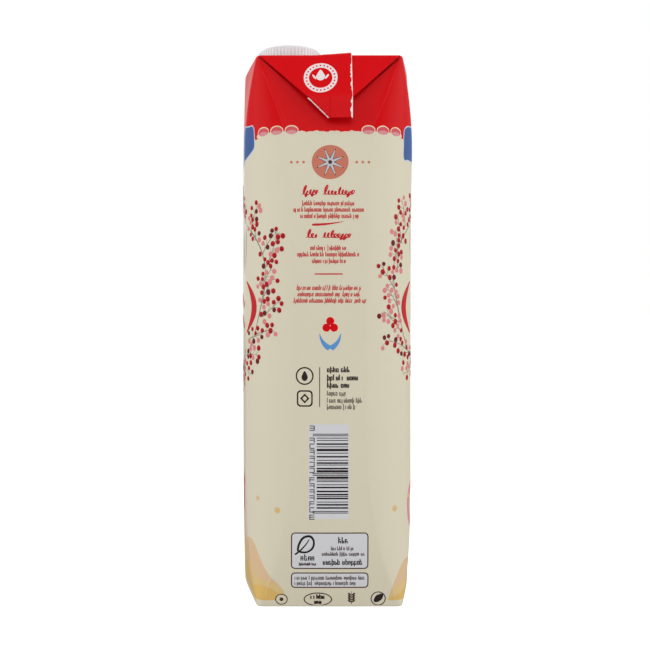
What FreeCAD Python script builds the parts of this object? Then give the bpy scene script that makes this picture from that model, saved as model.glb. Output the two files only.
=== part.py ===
import FreeCAD, Part
import math
import os

# One-litre drink carton: a folded, filled and sealed tube of laminated board with a screw cap.
#
# Frame: millimetres, +Z up, origin under the middle of the base.  A narrow panel with its folded
# ear faces -Y, the opposite one faces +Y, and the two wide panels face -X and +X.  The cap stands
# on the -X half of the top, and the top fin is folded over to the +X half.
#
# The tube is a crisp rectangle with bowed long sides where it is folded shut.  Between the folds
# its four corners open into leaf-shaped facets, because the contents push the panels outwards.

# ---- board ------------------------------------------------------------------
BOARD = 0.5                     # laminated board, one layer
PLY = 2 * BOARD                 # two layers sealed together: ears and fins

# ---- tube -------------------------------------------------------------------
HEIGHT = 220.0                  # base rim to top crease
END_WIDTH = 58.0                # narrow panel between its corners at the folds
END_DEPTH = 68.0                # wide panel between its corners at the folds
SIDE_BOW_END = 6.5              # wide panel stands out at mid-depth, at the folds
SIDE_BOW_MID = 7.4              # the same at mid-height
SIDE_PEAK = 0.18                # how softly the bow turns at mid-depth, 0 is a sharp roof
FACE_BULGE = 4.0                # narrow panel stands out at mid-height
FACE_CROWN = 0.5                # narrow panel's own crown between its creases
LEAF_ON_FACE = 14.6             # corner facet's reach onto the narrow panel at mid-height
LEAF_ON_SIDE = 12.5             # corner facet's reach onto the wide panel at mid-height
LEAF_FLARE = 5.2                # outer crease of the facet stands out at mid-height
LEAF_CROWN = 3.0                # roundness of the facet at mid-height
LEAF_POWER = 4                  # how quickly a facet opens from the fold, 2 is slow
FLARE_POWER = 6                 # how quickly its outer crease moves out from the fold
SHOULDER_RISE = 0.8             # the outer crease stands out further round the shoulder
SHOULDER_LEVEL = 0.86           # height of the shoulder, as a share of the tube's height
SHOULDER_SPREAD = 0.09          # how far it spreads up and down, as a share of the height
CORNER_FOLD = 0.8               # width of a corner where the facet has closed up
CORNER_CROWN = 0.16             # roundness of that closed corner
FACE_CROWN_END = 0.02           # narrow panel's own crown at the folds
SECTION_COUNT = 13              # levels the tube is lofted through
SIDE_STEPS = 8                  # points along a wide panel's bow, crease to crease

# ---- top folds --------------------------------------------------------------
EAR_REACH = 27.8                # crease to tip of an ear, along the board
EAR_BEND_AT = 19.5              # crease to the soft bend where the ear turns down
EAR_TILT = 18.0                 # degrees that the ear's upper part stands off the panel
EAR_BEND_RADIUS = 12.0
CREASE_RADIUS = 1.6             # outside radius where the board turns over the top crease
CREASE_PROUD = 0.6              # the ear's crease stands this far in front of the panel
FIN_WIDTH = 8.6                 # sealed fin, folded flat to the +X side
FIN_SINK = 0.15                 # the fin is pressed this far into the board beneath it

# ---- base folds -------------------------------------------------------------
RIM_WIDTH = 1.6                 # ring that the carton stands on
RECESS_DEPTH = 2.8              # base panel's height above the rim
RECESS_SLOPE = 3.0              # run of the sloping wall between rim and base panel
BASE_EAR_REACH = 28.0           # rim to tip of an ear folded under the base

# ---- closure ----------------------------------------------------------------
CAP_DIAMETER = 27.9             # over the ribs
CAP_TOP = 10.8                  # top of the cap above the top panel
RIB_COUNT = 60
RIB_DEPTH = 0.45
RIB_CREST = 0.3                 # share of the pitch taken by a rib's crest
RIB_ROOT = 0.3                  # share of the pitch taken by the root between two ribs
CAP_EDGE = 0.9                  # rounding of the cap's upper edge
CAP_DISH = 0.4                  # depth of the cap's dished top
CAP_DISH_RIM = 2.2              # width of the raised rim round the dish
BAND_HEIGHT = 2.2               # tamper band below the ribs
BAND_SLIT = 0.4                 # groove between the ribs and the band
BAND_SLIT_DEPTH = 0.7
FLANGE_LIP = 1.55               # the flange stands out this far beyond the ribs
FLANGE_CLEARANCE = 0.5          # between the flange and the fin
FLANGE_THICKNESS = 1.0
FLANGE_BEVEL = 0.4
COLLAR_DIAMETER = 25.0
COLLAR_HEIGHT = 0.8             # collar between flange and cap


def vec(x, y, z):
    return FreeCAD.Vector(x, y, z)


# ---- tube -------------------------------------------------------------------
def opening_at(level, power):
    """How far the corner facets have opened at a share of the height: 0 at the folds, 1 between."""
    return 1 - abs(1 - 2 * level) ** power


def flare_at(level):
    """How far a facet's outer crease stands out from its place at the folds."""
    shoulder = math.exp(-((level - SHOULDER_LEVEL) / SHOULDER_SPREAD) ** 2)
    return LEAF_FLARE * opening_at(level, FLARE_POWER) + SHOULDER_RISE * shoulder


def blend(at_folds, at_middle, opening):
    return at_folds + (at_middle - at_folds) * opening


def side_bow(share):
    """Bow of a wide panel, 0 at its corners (share 1) and 1 at mid-depth (share 0)."""
    rise = math.hypot(share, SIDE_PEAK) - SIDE_PEAK
    return 1 - rise / (math.hypot(1, SIDE_PEAK) - SIDE_PEAK)


def crowned_edge(start, end, crown):
    """Curved edge between two points that stands out from its chord, away from the axis, by the crown."""
    chord = end - start
    outward = vec(chord.y, -chord.x, 0).normalize()
    curve = Part.BezierCurve()
    curve.setPoles([start, (start + end) * 0.5 + outward * crown * 2, end])
    return curve.toShape()


def side_edge(crease_x, waist_x, crease_y, z):
    """Bowed edge of the +X wide panel, from its near crease to its far one."""
    points = []
    shares = [step / SIDE_STEPS for step in range(SIDE_STEPS + 1)]
    for share in shares:
        along = 2 * share - 1
        x = crease_x + (waist_x - crease_x) * side_bow(abs(along))
        points.append(vec(x, crease_y * along, z))
    curve = Part.BSplineCurve()
    curve.interpolate(Points=points, Parameters=shares)
    return curve.toShape()


def outline(z, opening=0.0, flare=0.0, inset=0.0):
    """Closed outline of the tube: two narrow panels, two wide panels and four corner facets."""
    half_width = END_WIDTH / 2 - inset
    half_depth = END_DEPTH / 2 - inset
    face_x = half_width - blend(CORNER_FOLD, LEAF_ON_FACE, opening)
    face_y = half_depth + FACE_BULGE * opening
    crease_x = half_width + flare
    crease_y = half_depth - blend(CORNER_FOLD, LEAF_ON_SIDE, opening)
    waist_x = half_width + blend(SIDE_BOW_END, SIDE_BOW_MID, opening)
    face_crown = blend(FACE_CROWN_END, FACE_CROWN, opening)
    leaf_crown = blend(CORNER_CROWN, LEAF_CROWN, opening)
    near_right = vec(face_x, -face_y, z)
    crease_near = vec(crease_x, -crease_y, z)
    crease_far = vec(crease_x, crease_y, z)
    far_right = vec(face_x, face_y, z)
    half_turn = FreeCAD.Rotation(vec(0, 0, 1), 180)
    edges = []
    for turned in (False, True):
        half = [
            crowned_edge(vec(-face_x, -face_y, z), near_right, face_crown),
            crowned_edge(near_right, crease_near, leaf_crown),
            side_edge(crease_x, waist_x, crease_y, z),
            crowned_edge(crease_far, far_right, leaf_crown),
        ]
        for edge in half:
            if turned:
                edge.Placement = FreeCAD.Placement(vec(0, 0, 0), half_turn)
            edges.append(edge)
    return Part.Wire(edges)


def tube():
    """Filled tube, lofted through levels that crowd towards the folds."""
    wires = []
    for index in range(SECTION_COUNT):
        level = (1 - math.cos(math.pi * index / (SECTION_COUNT - 1))) / 2
        wires.append(outline(HEIGHT * level, opening_at(level, LEAF_POWER), flare_at(level)))
    return Part.makeLoft(wires, True, False)


# ---- strips of board that turn over a crease ----------------------------------
def unit(point_a, point_b):
    """Direction from one (y, z) point to another."""
    run = (point_b[0] - point_a[0], point_b[1] - point_a[1])
    length = math.hypot(run[0], run[1])
    return run[0] / length, run[1] / length


def rounded_path(corners, radii, offset):
    """Edges along a (y, z) path with rounded corners, moved sideways to its left by the offset."""
    edges = []
    cursor = None
    for index in range(len(corners)):
        here = corners[index]
        before = unit(corners[index - 1], here) if index > 0 else None
        after = unit(here, corners[index + 1]) if index < len(corners) - 1 else None
        if before is None or after is None:
            way = after or before
            point = vec(0, here[0] - way[1] * offset, here[1] + way[0] * offset)
            if cursor is not None:
                edges.append(Part.makeLine(cursor, point))
            cursor = point
            continue
        turn = math.atan2(before[0] * after[1] - before[1] * after[0],
                          before[0] * after[0] + before[1] * after[1])
        side = math.copysign(1, turn)
        radius = radii[index - 1]
        reach = radius * math.tan(abs(turn) / 2)
        centre = (here[0] - before[0] * reach - before[1] * side * radius,
                  here[1] - before[1] * reach + before[0] * side * radius)
        moved = radius - side * offset
        middle_way = unit(centre, here)
        start = vec(0, centre[0] + before[1] * side * moved, centre[1] - before[0] * side * moved)
        middle = vec(0, centre[0] + middle_way[0] * moved, centre[1] + middle_way[1] * moved)
        end = vec(0, centre[0] + after[1] * side * moved, centre[1] - after[0] * side * moved)
        edges.append(Part.makeLine(cursor, start))
        edges.append(Part.Arc(start, middle, end).toShape())
        cursor = end
    return edges


def strip(corners, radii, low, high, x_from, x_to):
    """Bent strip of board between two sideways offsets of a path, as wide as x_from to x_to."""
    inner = rounded_path(corners, radii, low)
    outer = rounded_path(corners, radii, high)
    first = Part.makeLine(inner[0].Vertexes[0].Point, outer[0].Vertexes[0].Point)
    last = Part.makeLine(inner[-1].Vertexes[1].Point, outer[-1].Vertexes[1].Point)
    face = Part.Face(Part.Wire(Part.__sortEdges__(inner + outer + [first, last])))
    face.translate(vec(x_from, 0, 0))
    return face.extrude(vec(x_to - x_from, 0, 0))


# ---- top ears and fin ---------------------------------------------------------
def ear_path():
    """(y, z) corners of the near ear's outer surface: top panel, crease, soft bend, tip."""
    tilt = math.radians(EAR_TILT)
    crease = (-END_DEPTH / 2 - CREASE_PROUD, HEIGHT)
    bend = (crease[0] - EAR_BEND_AT * math.sin(tilt), crease[1] - EAR_BEND_AT * math.cos(tilt))
    tip = (bend[0], bend[1] - (EAR_REACH - EAR_BEND_AT))
    return crease, bend, tip


def ear():
    """Near ear: a double layer folded down from the top, cut to a triangle by its own folds."""
    crease, bend, tip = ear_path()
    start = (-END_DEPTH / 2 + 3 * PLY, HEIGHT)
    board = strip([start, crease, bend, tip], [CREASE_RADIUS, EAR_BEND_RADIUS],
                  0, PLY, -END_WIDTH / 2, END_WIDTH / 2)
    half = END_WIDTH / 2 - CORNER_FOLD
    bend_x = half * (1 - EAR_BEND_AT / EAR_REACH)
    above = HEIGHT + PLY
    corners = [(-half, above), (-half, HEIGHT), (-bend_x, bend[1]), (0, tip[1]),
               (bend_x, bend[1]), (half, HEIGHT), (half, above), (-half, above)]
    triangle = Part.Face(Part.makePolygon([vec(x, 0, z) for x, z in corners]))
    triangle.translate(vec(0, tip[0] - 2 * PLY, 0))
    return board.common(triangle.extrude(vec(0, -tip[0] + 2 * PLY, 0)))


def fin():
    """Sealed fin, folded over to +X: up one ear, along the top and down the other ear."""
    crease, bend, tip = ear_path()
    near = [tip, bend, crease]
    far = [(-y, z) for y, z in reversed(near)]
    radii = [EAR_BEND_RADIUS, CREASE_RADIUS, CREASE_RADIUS, EAR_BEND_RADIUS]
    return strip(near + far, radii, -FIN_SINK, PLY, 0, FIN_WIDTH)


# ---- base -----------------------------------------------------------------------
def base_recess():
    """Space under the base panel, inside the rim that the carton stands on."""
    low = outline(-BOARD, inset=RIM_WIDTH - RECESS_SLOPE * BOARD / RECESS_DEPTH)
    high = outline(RECESS_DEPTH, inset=RIM_WIDTH + RECESS_SLOPE)
    return Part.makeLoft([low, high], True, True)


def base_ear():
    """Near ear folded under the base: a triangle with its tip near the middle."""
    rim_y = -END_DEPTH / 2 + RIM_WIDTH / 2
    half = END_WIDTH / 2 - RIM_WIDTH
    tip_y = -END_DEPTH / 2 + BASE_EAR_REACH
    z = RECESS_DEPTH - 2 * PLY
    corners = [vec(-half, rim_y, z), vec(half, rim_y, z), vec(0, tip_y, z), vec(-half, rim_y, z)]
    return Part.Face(Part.makePolygon(corners)).extrude(vec(0, 0, 2 * PLY + BOARD))


def base_fin():
    """Fin of the bottom seal, folded flat to +X under the base panel."""
    length = END_DEPTH - 2 * RIM_WIDTH
    block = Part.makeBox(FIN_WIDTH, length, PLY + BOARD)
    block.translate(vec(0, -length / 2, RECESS_DEPTH - PLY))
    return block


def mirrored(shape):
    return shape.mirror(vec(0, 0, 0), vec(0, 1, 0))


def carton():
    near_ear = ear()
    near_base_ear = base_ear()
    body = tube().cut(base_recess())
    folds = [near_ear, mirrored(near_ear), fin(), near_base_ear, mirrored(near_base_ear), base_fin()]
    return body.multiFuse(folds).removeSplitter()


# ---- closure -----------------------------------------------------------------
FLANGE_RADIUS = CAP_DIAMETER / 2 + FLANGE_LIP
CAP_OFFSET = FLANGE_RADIUS + FLANGE_CLEARANCE      # cap's axis from the fin's fold, towards -X


def revolved(points):
    """Solid turned about the cap's axis from (radius, height above the top panel) points."""
    profile = [vec(-CAP_OFFSET + radius, 0, HEIGHT + height) for radius, height in points]
    face = Part.Face(Part.makePolygon(profile + profile[:1]))
    return face.revolve(vec(-CAP_OFFSET, 0, 0), vec(0, 0, 1), 360)


def closure_base():
    flange = FLANGE_RADIUS
    collar = COLLAR_DIAMETER / 2
    top = FLANGE_THICKNESS + COLLAR_HEIGHT
    return revolved([(0, 0), (flange, 0), (flange, FLANGE_THICKNESS - FLANGE_BEVEL),
                     (flange - FLANGE_BEVEL, FLANGE_THICKNESS), (collar, FLANGE_THICKNESS),
                     (collar, top), (0, top)])


def ribbed_barrel(bottom, top):
    """Star-shaped prism: trapezoidal ribs round the cap's grip."""
    crest = CAP_DIAMETER / 2
    root = crest - RIB_DEPTH
    pitch = 2 * math.pi / RIB_COUNT
    points = []
    for rib in range(RIB_COUNT):
        middle = rib * pitch
        for radius, share in ((crest, -RIB_CREST), (crest, RIB_CREST), (root, 1 - RIB_ROOT),
                              (root, 1 + RIB_ROOT)):
            angle = middle + share * pitch / 2
            points.append(vec(-CAP_OFFSET + radius * math.cos(angle), radius * math.sin(angle),
                              HEIGHT + bottom))
    face = Part.Face(Part.makePolygon(points + points[:1]))
    return face.extrude(vec(0, 0, top - bottom))


def cap_envelope(bottom):
    """Turned outside form of the cap: rounded upper edge and a shallow dished top."""
    crest = CAP_DIAMETER / 2
    shoulder = CAP_EDGE * (1 - math.sqrt(0.5))
    points = [(0, bottom), (crest, bottom), (crest, CAP_TOP - CAP_EDGE),
              (crest - shoulder, CAP_TOP - shoulder), (crest - CAP_EDGE, CAP_TOP)]
    dish = crest - CAP_DISH_RIM
    points += [(dish, CAP_TOP), (dish - CAP_DISH, CAP_TOP - CAP_DISH), (0, CAP_TOP - CAP_DISH)]
    return revolved(points)


def screw_cap():
    """Ribbed cap with its tamper band: it seats on the collar of the closure base."""
    bottom = FLANGE_THICKNESS + COLLAR_HEIGHT
    grip = bottom + BAND_HEIGHT + BAND_SLIT
    root = CAP_DIAMETER / 2 - RIB_DEPTH
    neck = root - BAND_SLIT_DEPTH
    core = revolved([(0, bottom), (root, bottom), (root, bottom + BAND_HEIGHT),
                     (neck, bottom + BAND_HEIGHT), (neck, grip), (0, grip)])
    barrel = ribbed_barrel(grip, CAP_TOP).common(cap_envelope(bottom))
    return core.fuse(barrel)


# ---- hand over ------------------------------------------------------------------
PARTS = {
    "carton": carton,
    "closure_base": closure_base,
    "screw_cap": screw_cap,
}


def main():
    os.makedirs("parts", exist_ok=True)
    for name, build in PARTS.items():
        shape = build()
        solids = shape.Solids
        print("%-13s solids %d valid %s volume %.1f cm3" % (
            name, len(solids), shape.isValid(), shape.Volume / 1000))
        solids[0].exportStep("parts/%s.step" % name)


main()
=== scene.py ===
"""Looks of a one-litre drink carton with a ribbed screw cap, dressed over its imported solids.

Sizes are in millimetres, in the frame of the solids, until a mesh is handed to Blender in metres.
The print is laid out flat on a page: u runs round the sleeve from the middle of the near narrow
panel, and z runs up from the base.
"""

import logging
import math
import random
from dataclasses import dataclass, field
from enum import Enum

import bpy
import numpy as np
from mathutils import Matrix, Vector
from mathutils.geometry import delaunay_2d_cdt


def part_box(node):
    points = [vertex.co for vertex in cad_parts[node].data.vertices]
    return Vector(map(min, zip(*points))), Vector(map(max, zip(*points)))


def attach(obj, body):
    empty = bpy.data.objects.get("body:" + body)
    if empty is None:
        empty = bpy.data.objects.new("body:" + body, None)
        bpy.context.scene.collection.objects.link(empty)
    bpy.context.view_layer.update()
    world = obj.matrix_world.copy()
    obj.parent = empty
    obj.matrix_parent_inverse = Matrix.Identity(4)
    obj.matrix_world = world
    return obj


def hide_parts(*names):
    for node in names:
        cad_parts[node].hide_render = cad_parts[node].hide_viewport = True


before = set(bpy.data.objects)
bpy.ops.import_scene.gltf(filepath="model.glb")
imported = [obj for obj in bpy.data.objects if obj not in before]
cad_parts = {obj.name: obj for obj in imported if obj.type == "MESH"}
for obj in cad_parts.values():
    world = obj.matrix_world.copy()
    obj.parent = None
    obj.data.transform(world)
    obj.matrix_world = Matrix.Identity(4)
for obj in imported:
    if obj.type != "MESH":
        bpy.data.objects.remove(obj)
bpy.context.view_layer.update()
LOG = logging.getLogger("carton")
MM = 0.001
Point = tuple[float, float]
Points = list[Point]
Fields = list[tuple["Ink", Points]]
Faces = list[tuple[int, ...]]


# ---- shader and geometry nodes
class Graph:
    """Adds nodes to one node tree."""

    def __init__(self, tree: bpy.types.NodeTree) -> None:
        """Keeps the tree that nodes go into."""
        self.tree = tree

    def node(self, kind: str, settings: dict | None = None, inputs: dict | None = None) -> bpy.types.Node:
        """Makes one node.

        Args:
            kind: The node's type name.
            settings: Properties of the node, set before its sockets; "stops" fills a colour ramp.
            inputs: Value, link or Value object for each socket, by name or by position.

        Returns:
            The new node.
        """
        made = self.tree.nodes.new(kind)
        for name, value in (settings or {}).items():
            if name == "stops":
                self._fill_ramp(made.color_ramp, value)
            else:
                setattr(made, name, value)
        for name, value in (inputs or {}).items():
            self.feed(made.inputs[name], value)
        return made

    def feed(self, socket: bpy.types.NodeSocket, value: object) -> None:
        """Links or sets one input socket.

        Args:
            socket: The input.
            value: An output socket, a node for its first output, a Value, or a constant.
        """
        if isinstance(value, Value):
            value = value.socket
        if isinstance(value, bpy.types.Node):
            value = value.outputs[0]
        if isinstance(value, bpy.types.NodeSocket):
            self.tree.links.new(value, socket)
        else:
            socket.default_value = value

    @staticmethod
    def _fill_ramp(ramp: bpy.types.ColorRamp, stops: list[tuple[float, float]]) -> None:
        """Sets a ramp's stops from (position, grey level) pairs."""
        while len(ramp.elements) < len(stops):
            ramp.elements.new(0.5)
        for element, (position, level) in zip(ramp.elements, stops):
            element.position = position
            element.color = (level, level, level, 1)

    @classmethod
    def cleared(cls, owner: bpy.types.Material | bpy.types.World) -> "Graph":
        """Graph on the emptied node tree of a material or world."""
        owner.use_nodes = True
        owner.node_tree.nodes.clear()
        return cls(owner.node_tree)

    def bump(self, height: "Value") -> bpy.types.Node:
        """Bump from a height in metres."""
        return self.node("ShaderNodeBump", None, {"Strength": 1.0, "Distance": 1.0, "Height": height})

    def attribute(self, name: str, kind: str) -> bpy.types.NodeSocket:
        """A geometry's named attribute."""
        return self.node("GeometryNodeInputNamedAttribute", {"data_type": kind}, {"Name": name}).outputs["Attribute"]

    def number(self, socket: bpy.types.NodeSocket) -> "Value":
        """Wraps a number socket for use in expressions."""
        return Value(self, socket)

    def noise(self, vector: bpy.types.NodeSocket, scale: float, detail: float = 3.0,
              rough: float = 0.5) -> "Value":
        """Noise over a vector, about 0 to 1.

        Args:
            vector: Where the noise is read.
            scale: Cells to a metre.
            detail: Octaves.
            rough: Strength of the fine octaves.

        Returns:
            The noise as a Value.
        """
        made = self.node("ShaderNodeTexNoise", None, {
            "Vector": vector, "Scale": scale, "Detail": detail, "Roughness": rough})
        return self.number(made.outputs["Fac"])

    def mix_colour(self, factor: object, first: object, second: object,
                   blend: str = "MIX") -> bpy.types.NodeSocket:
        """Mixes two colours.

        Args:
            factor: Share of the second colour.
            first: Colour or link.
            second: Colour or link.
            blend: Blend type.

        Returns:
            The mixed colour's socket.
        """
        made = self.node("ShaderNodeMix", {"data_type": "RGBA", "blend_type": blend},
                         {0: factor, 6: first, 7: second})
        return made.outputs[2]


class Value:
    """A number socket: using it in an expression adds Math nodes."""

    def __init__(self, graph: Graph, socket: bpy.types.NodeSocket) -> None:
        """Keeps the graph and the socket."""
        self.graph = graph
        self.socket = socket

    def _math(self, operation: str, *operands: object, clamp: bool = False) -> "Value":
        """Adds a Math node on the operands, in their order."""
        made = self.graph.node("ShaderNodeMath", {"operation": operation, "use_clamp": clamp},
                               dict(enumerate(operands)))
        return Value(self.graph, made.outputs[0])

    def __add__(self, other: object) -> "Value":
        """Sum."""
        return self._math("ADD", self, other)

    __radd__ = __add__

    def __sub__(self, other: object) -> "Value":
        """Difference."""
        return self._math("SUBTRACT", self, other)

    def __rsub__(self, other: object) -> "Value":
        """Difference, the other way round."""
        return self._math("SUBTRACT", other, self)

    def __mul__(self, other: object) -> "Value":
        """Product."""
        return self._math("MULTIPLY", self, other)

    __rmul__ = __mul__

    def __truediv__(self, other: object) -> "Value":
        """Quotient."""
        return self._math("DIVIDE", self, other)

    def clamped(self) -> "Value":
        """The value held between 0 and 1."""
        return self._math("ADD", self, 0.0, clamp=True)

    def wrapped(self, low: float, high: float) -> "Value":
        """The value brought back between two limits by whole turns."""
        return self._math("WRAP", self, high, low)

    def between(self, low: float, high: float) -> "Value":
        """Smooth rise from 0 at the low limit to 1 at the high one."""
        made = self.graph.node("ShaderNodeMapRange", {"interpolation_type": "SMOOTHSTEP"}, {
            "Value": self, "From Min": low, "From Max": high, "To Min": 0.0, "To Max": 1.0})
        return Value(self.graph, made.outputs[0])


def linear(colour: tuple[int, int, int]) -> tuple[float, float, float, float]:
    """Scene-linear colour of a display colour given in 0 to 255."""
    shares = [part / 255 for part in colour]
    parts = [part / 12.92 if part <= 0.04045 else ((part + 0.055) / 1.055) ** 2.4 for part in shares]
    return parts[0], parts[1], parts[2], 1.0


# ---- finishes
class Finish:
    """A named material that is built once."""

    made: dict[str, bpy.types.Material] = {}

    def material(self) -> bpy.types.Material:
        """The finish's material, built on first use."""
        name = self.name
        if name not in Finish.made:
            material = bpy.data.materials.new(name)
            graph = Graph.cleared(material)
            graph.node("ShaderNodeOutputMaterial", None, {"Surface": self.shader(graph)})
            Finish.made[name] = material
        return Finish.made[name]

    def shader(self, graph: Graph) -> bpy.types.Node:
        """Builds the finish's shader node."""
        raise NotImplementedError


@dataclass(frozen=True)
class PrintedBoard(Finish):
    """One ink on plastic-coated board: satin, faintly mottled, paper fibre under the coating."""

    name: str
    ink: tuple[int, int, int]
    blotch: float = 0.03
    blotch_scale: float = 70.0
    grain: float = 0.02
    roughness: float = 0.32
    gloss_ior: float = 1.14
    fibre_scale: float = 1500.0
    fibre_depth: float = 0.000012
    waviness: float = 0.00012
    darkest: float = 0.78
    palest: float = 1.22

    def shader(self, graph: Graph) -> bpy.types.Node:
        """Builds the board's shader.

        Args:
            graph: Where the nodes go.

        Returns:
            The shader node.
        """
        place = graph.node("ShaderNodeTexCoord").outputs["Object"]
        blotches = graph.noise(place, self.blotch_scale, 4.0)
        fibre = graph.noise(place, self.fibre_scale, 2.0, 0.6)
        broad = graph.noise(place, 22.0, 1.0)
        shade = (blotches - 0.5) * self.blotch * 2 + (fibre - 0.5) * self.grain * 2 + 0.5
        ink = linear(self.ink)
        darker = tuple(part * self.darkest for part in ink[:3]) + (1.0,)
        paler = tuple(min(part * self.palest, 1.0) for part in ink[:3]) + (1.0,)
        colour = graph.mix_colour(shade, darker, paler)
        bump = graph.bump(fibre * self.fibre_depth + broad * self.waviness)
        rough = self.roughness + (blotches - 0.5) * 0.12
        return graph.node("ShaderNodeBsdfPrincipled", None, {
            "Base Color": colour, "Roughness": rough, "IOR": self.gloss_ior, "Normal": bump})


@dataclass(frozen=True)
class RawPaper(Finish):
    """Torn or cut edge of board: matt white fibres."""

    name: str = "raw_paper"
    colour: tuple[int, int, int] = (233, 224, 220)

    def shader(self, graph: Graph) -> bpy.types.Node:
        """Builds the raw edge's shader."""
        place = graph.node("ShaderNodeTexCoord").outputs["Object"]
        fibre = graph.noise(place, 2600.0, 4.0, 0.7)
        patch = graph.noise(place, 700.0, 2.0)
        stained = linear((214, 170, 164))
        colour = graph.mix_colour(patch.between(0.52, 0.72), linear(self.colour), stained)
        bump = graph.bump(fibre * 0.00006)
        return graph.node("ShaderNodeBsdfPrincipled", None, {
            "Base Color": colour, "Roughness": 0.85 + fibre * 0.1, "Normal": bump})


@dataclass(frozen=True)
class MouldedPlastic(Finish):
    """Satin moulded plastic of the closure."""

    name: str
    colour: tuple[int, int, int]
    roughness: float = 0.38

    def shader(self, graph: Graph) -> bpy.types.Node:
        """Builds the plastic's shader."""
        place = graph.node("ShaderNodeTexCoord").outputs["Object"]
        grain = graph.noise(place, 2200.0, 2.0)
        cloud = graph.noise(place, 120.0, 2.0)
        full = linear(self.colour)
        dull = tuple(part * 0.93 for part in full[:3]) + (1.0,)
        colour = graph.mix_colour(cloud.between(0.3, 0.7), dull, full)
        bump = graph.bump(grain * 0.00001)
        shader = graph.node("ShaderNodeBsdfPrincipled", None, {
            "Base Color": colour, "Roughness": self.roughness + (cloud - 0.5) * 0.1, "Normal": bump})
        shader.inputs["Subsurface Weight"].default_value = 0.15
        shader.inputs["Subsurface Radius"].default_value = (0.002, 0.0015, 0.0015)
        return shader


class Ink(Enum):
    """Inks of the print."""

    CREAM = PrintedBoard("board_cream", (210, 203, 181))
    RED = PrintedBoard("ink_red", (203, 9, 17), 0.05)
    # painted shadow: dark red ink for the shade under the ears' edges
    CREASE = PrintedBoard("painted_ear_shadow", (134, 3, 9), 0.1)
    SCUFF = PrintedBoard("crease_scuff", (208, 52, 56), 0.2, 500.0)
    PALE_LINE = PrintedBoard("ink_pale_line", (222, 208, 178))
    PINK = PrintedBoard("ink_pink", (202, 84, 94), 0.2, 500.0)
    BLUSH = PrintedBoard("ink_blush", (206, 140, 142), 0.2, 500.0)
    WHITE = PrintedBoard("ink_white", (206, 206, 209), 0.02)
    RING_WHITE = PrintedBoard("ink_ring_white", (226, 214, 214), 0.04)
    BLUE = PrintedBoard("ink_blue", (66, 94, 148), 0.08)
    BLUE_EDGE = PrintedBoard("ink_blue_edge", (186, 198, 214))
    DRINK = PrintedBoard("ink_drink", (212, 176, 104), 0.14, 160.0)
    DRINK_MID = PrintedBoard("ink_drink_mid", (211, 184, 130), 0.1, 220.0)
    DRINK_PALE = PrintedBoard("ink_drink_pale", (210, 180, 144), 0.07, 220.0)
    SALMON = PrintedBoard("ink_salmon", (190, 114, 94), 0.1, 300.0)
    STICK = PrintedBoard("ink_stick", (186, 186, 190), 0.3, 900.0)
    INK_BROWN = PrintedBoard("ink_brown", (72, 50, 46))
    TEXT_RED = PrintedBoard("ink_text_red", (186, 40, 46), 0.1, 900.0)
    CRIMSON = PrintedBoard("ink_crimson", (172, 26, 32), 0.3, 900.0)
    ROSE = PrintedBoard("ink_rose", (208, 128, 128), 0.2, 900.0)
    MAROON = PrintedBoard("ink_maroon", (104, 30, 36), 0.2, 900.0)
    TWIG = PrintedBoard("ink_twig", (138, 130, 118), 0.2, 700.0)
    BLACK = PrintedBoard("ink_black", (44, 36, 36), 0.1)
    SKY = PrintedBoard("ink_sky", (88, 144, 200), 0.12, 400.0)


# ---- meshes
def linked(name: str, data: bpy.types.ID) -> bpy.types.Object:
    """Puts a new object with its data into the scene."""
    made = bpy.data.objects.new(name, data)
    bpy.context.scene.collection.objects.link(made)
    return made


def mesh_object(name: str, points: np.ndarray, faces: list, finishes: list[Finish],
                slots: list[int] | None = None) -> bpy.types.Object:
    """Makes a smooth-shaded mesh object.

    Args:
        name: Name of the object.
        points: Vertices in millimetres.
        faces: Vertex numbers of each face.
        finishes: Finishes for the material slots.
        slots: Material slot of each face; the first if left out.

    Returns:
        The object, linked to the scene.
    """
    mesh = bpy.data.meshes.new(name)
    mesh.from_pydata([tuple(point) for point in np.asarray(points, float) * MM], [], faces)
    for finish in finishes:
        mesh.materials.append(finish.material())
    if slots is not None:
        mesh.polygons.foreach_set("material_index", slots)
    mesh.polygons.foreach_set("use_smooth", [True] * len(mesh.polygons))
    mesh.update()
    return linked(name, mesh)


def add_piece(piece: bpy.types.Object, slot: str, *nodes: str) -> None:
    """Puts a finished piece on the carton's one body.

    Args:
        piece: The piece.
        slot: Not used.
        nodes: Solids that the piece stands for.
    """
    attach(piece, "root")
    if nodes:
        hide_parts(*nodes)
    LOG.info("%s: %d faces", piece.name, len(piece.data.polygons))


def smoothstep(share: float | np.ndarray) -> float | np.ndarray:
    """Smooth rise from 0 to 1."""
    held = np.clip(share, 0, 1)
    return held * held * (3 - 2 * held)


def ring_faces(rows: int, columns: int) -> Faces:
    """Faces between rings that all have the same number of points."""
    return [(row * columns + i, row * columns + (i + 1) % columns, (row + 1) * columns + (i + 1) % columns,
             (row + 1) * columns + i) for row in range(rows - 1) for i in range(columns)]


def tube_faces(rows: int, columns: int) -> Faces:
    """Faces of a tube of rings that is closed at both ends."""
    last = (rows - 1) * columns
    return ring_faces(rows, columns) + [tuple(range(columns - 1, -1, -1)), tuple(range(last, last + columns))]


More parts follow.
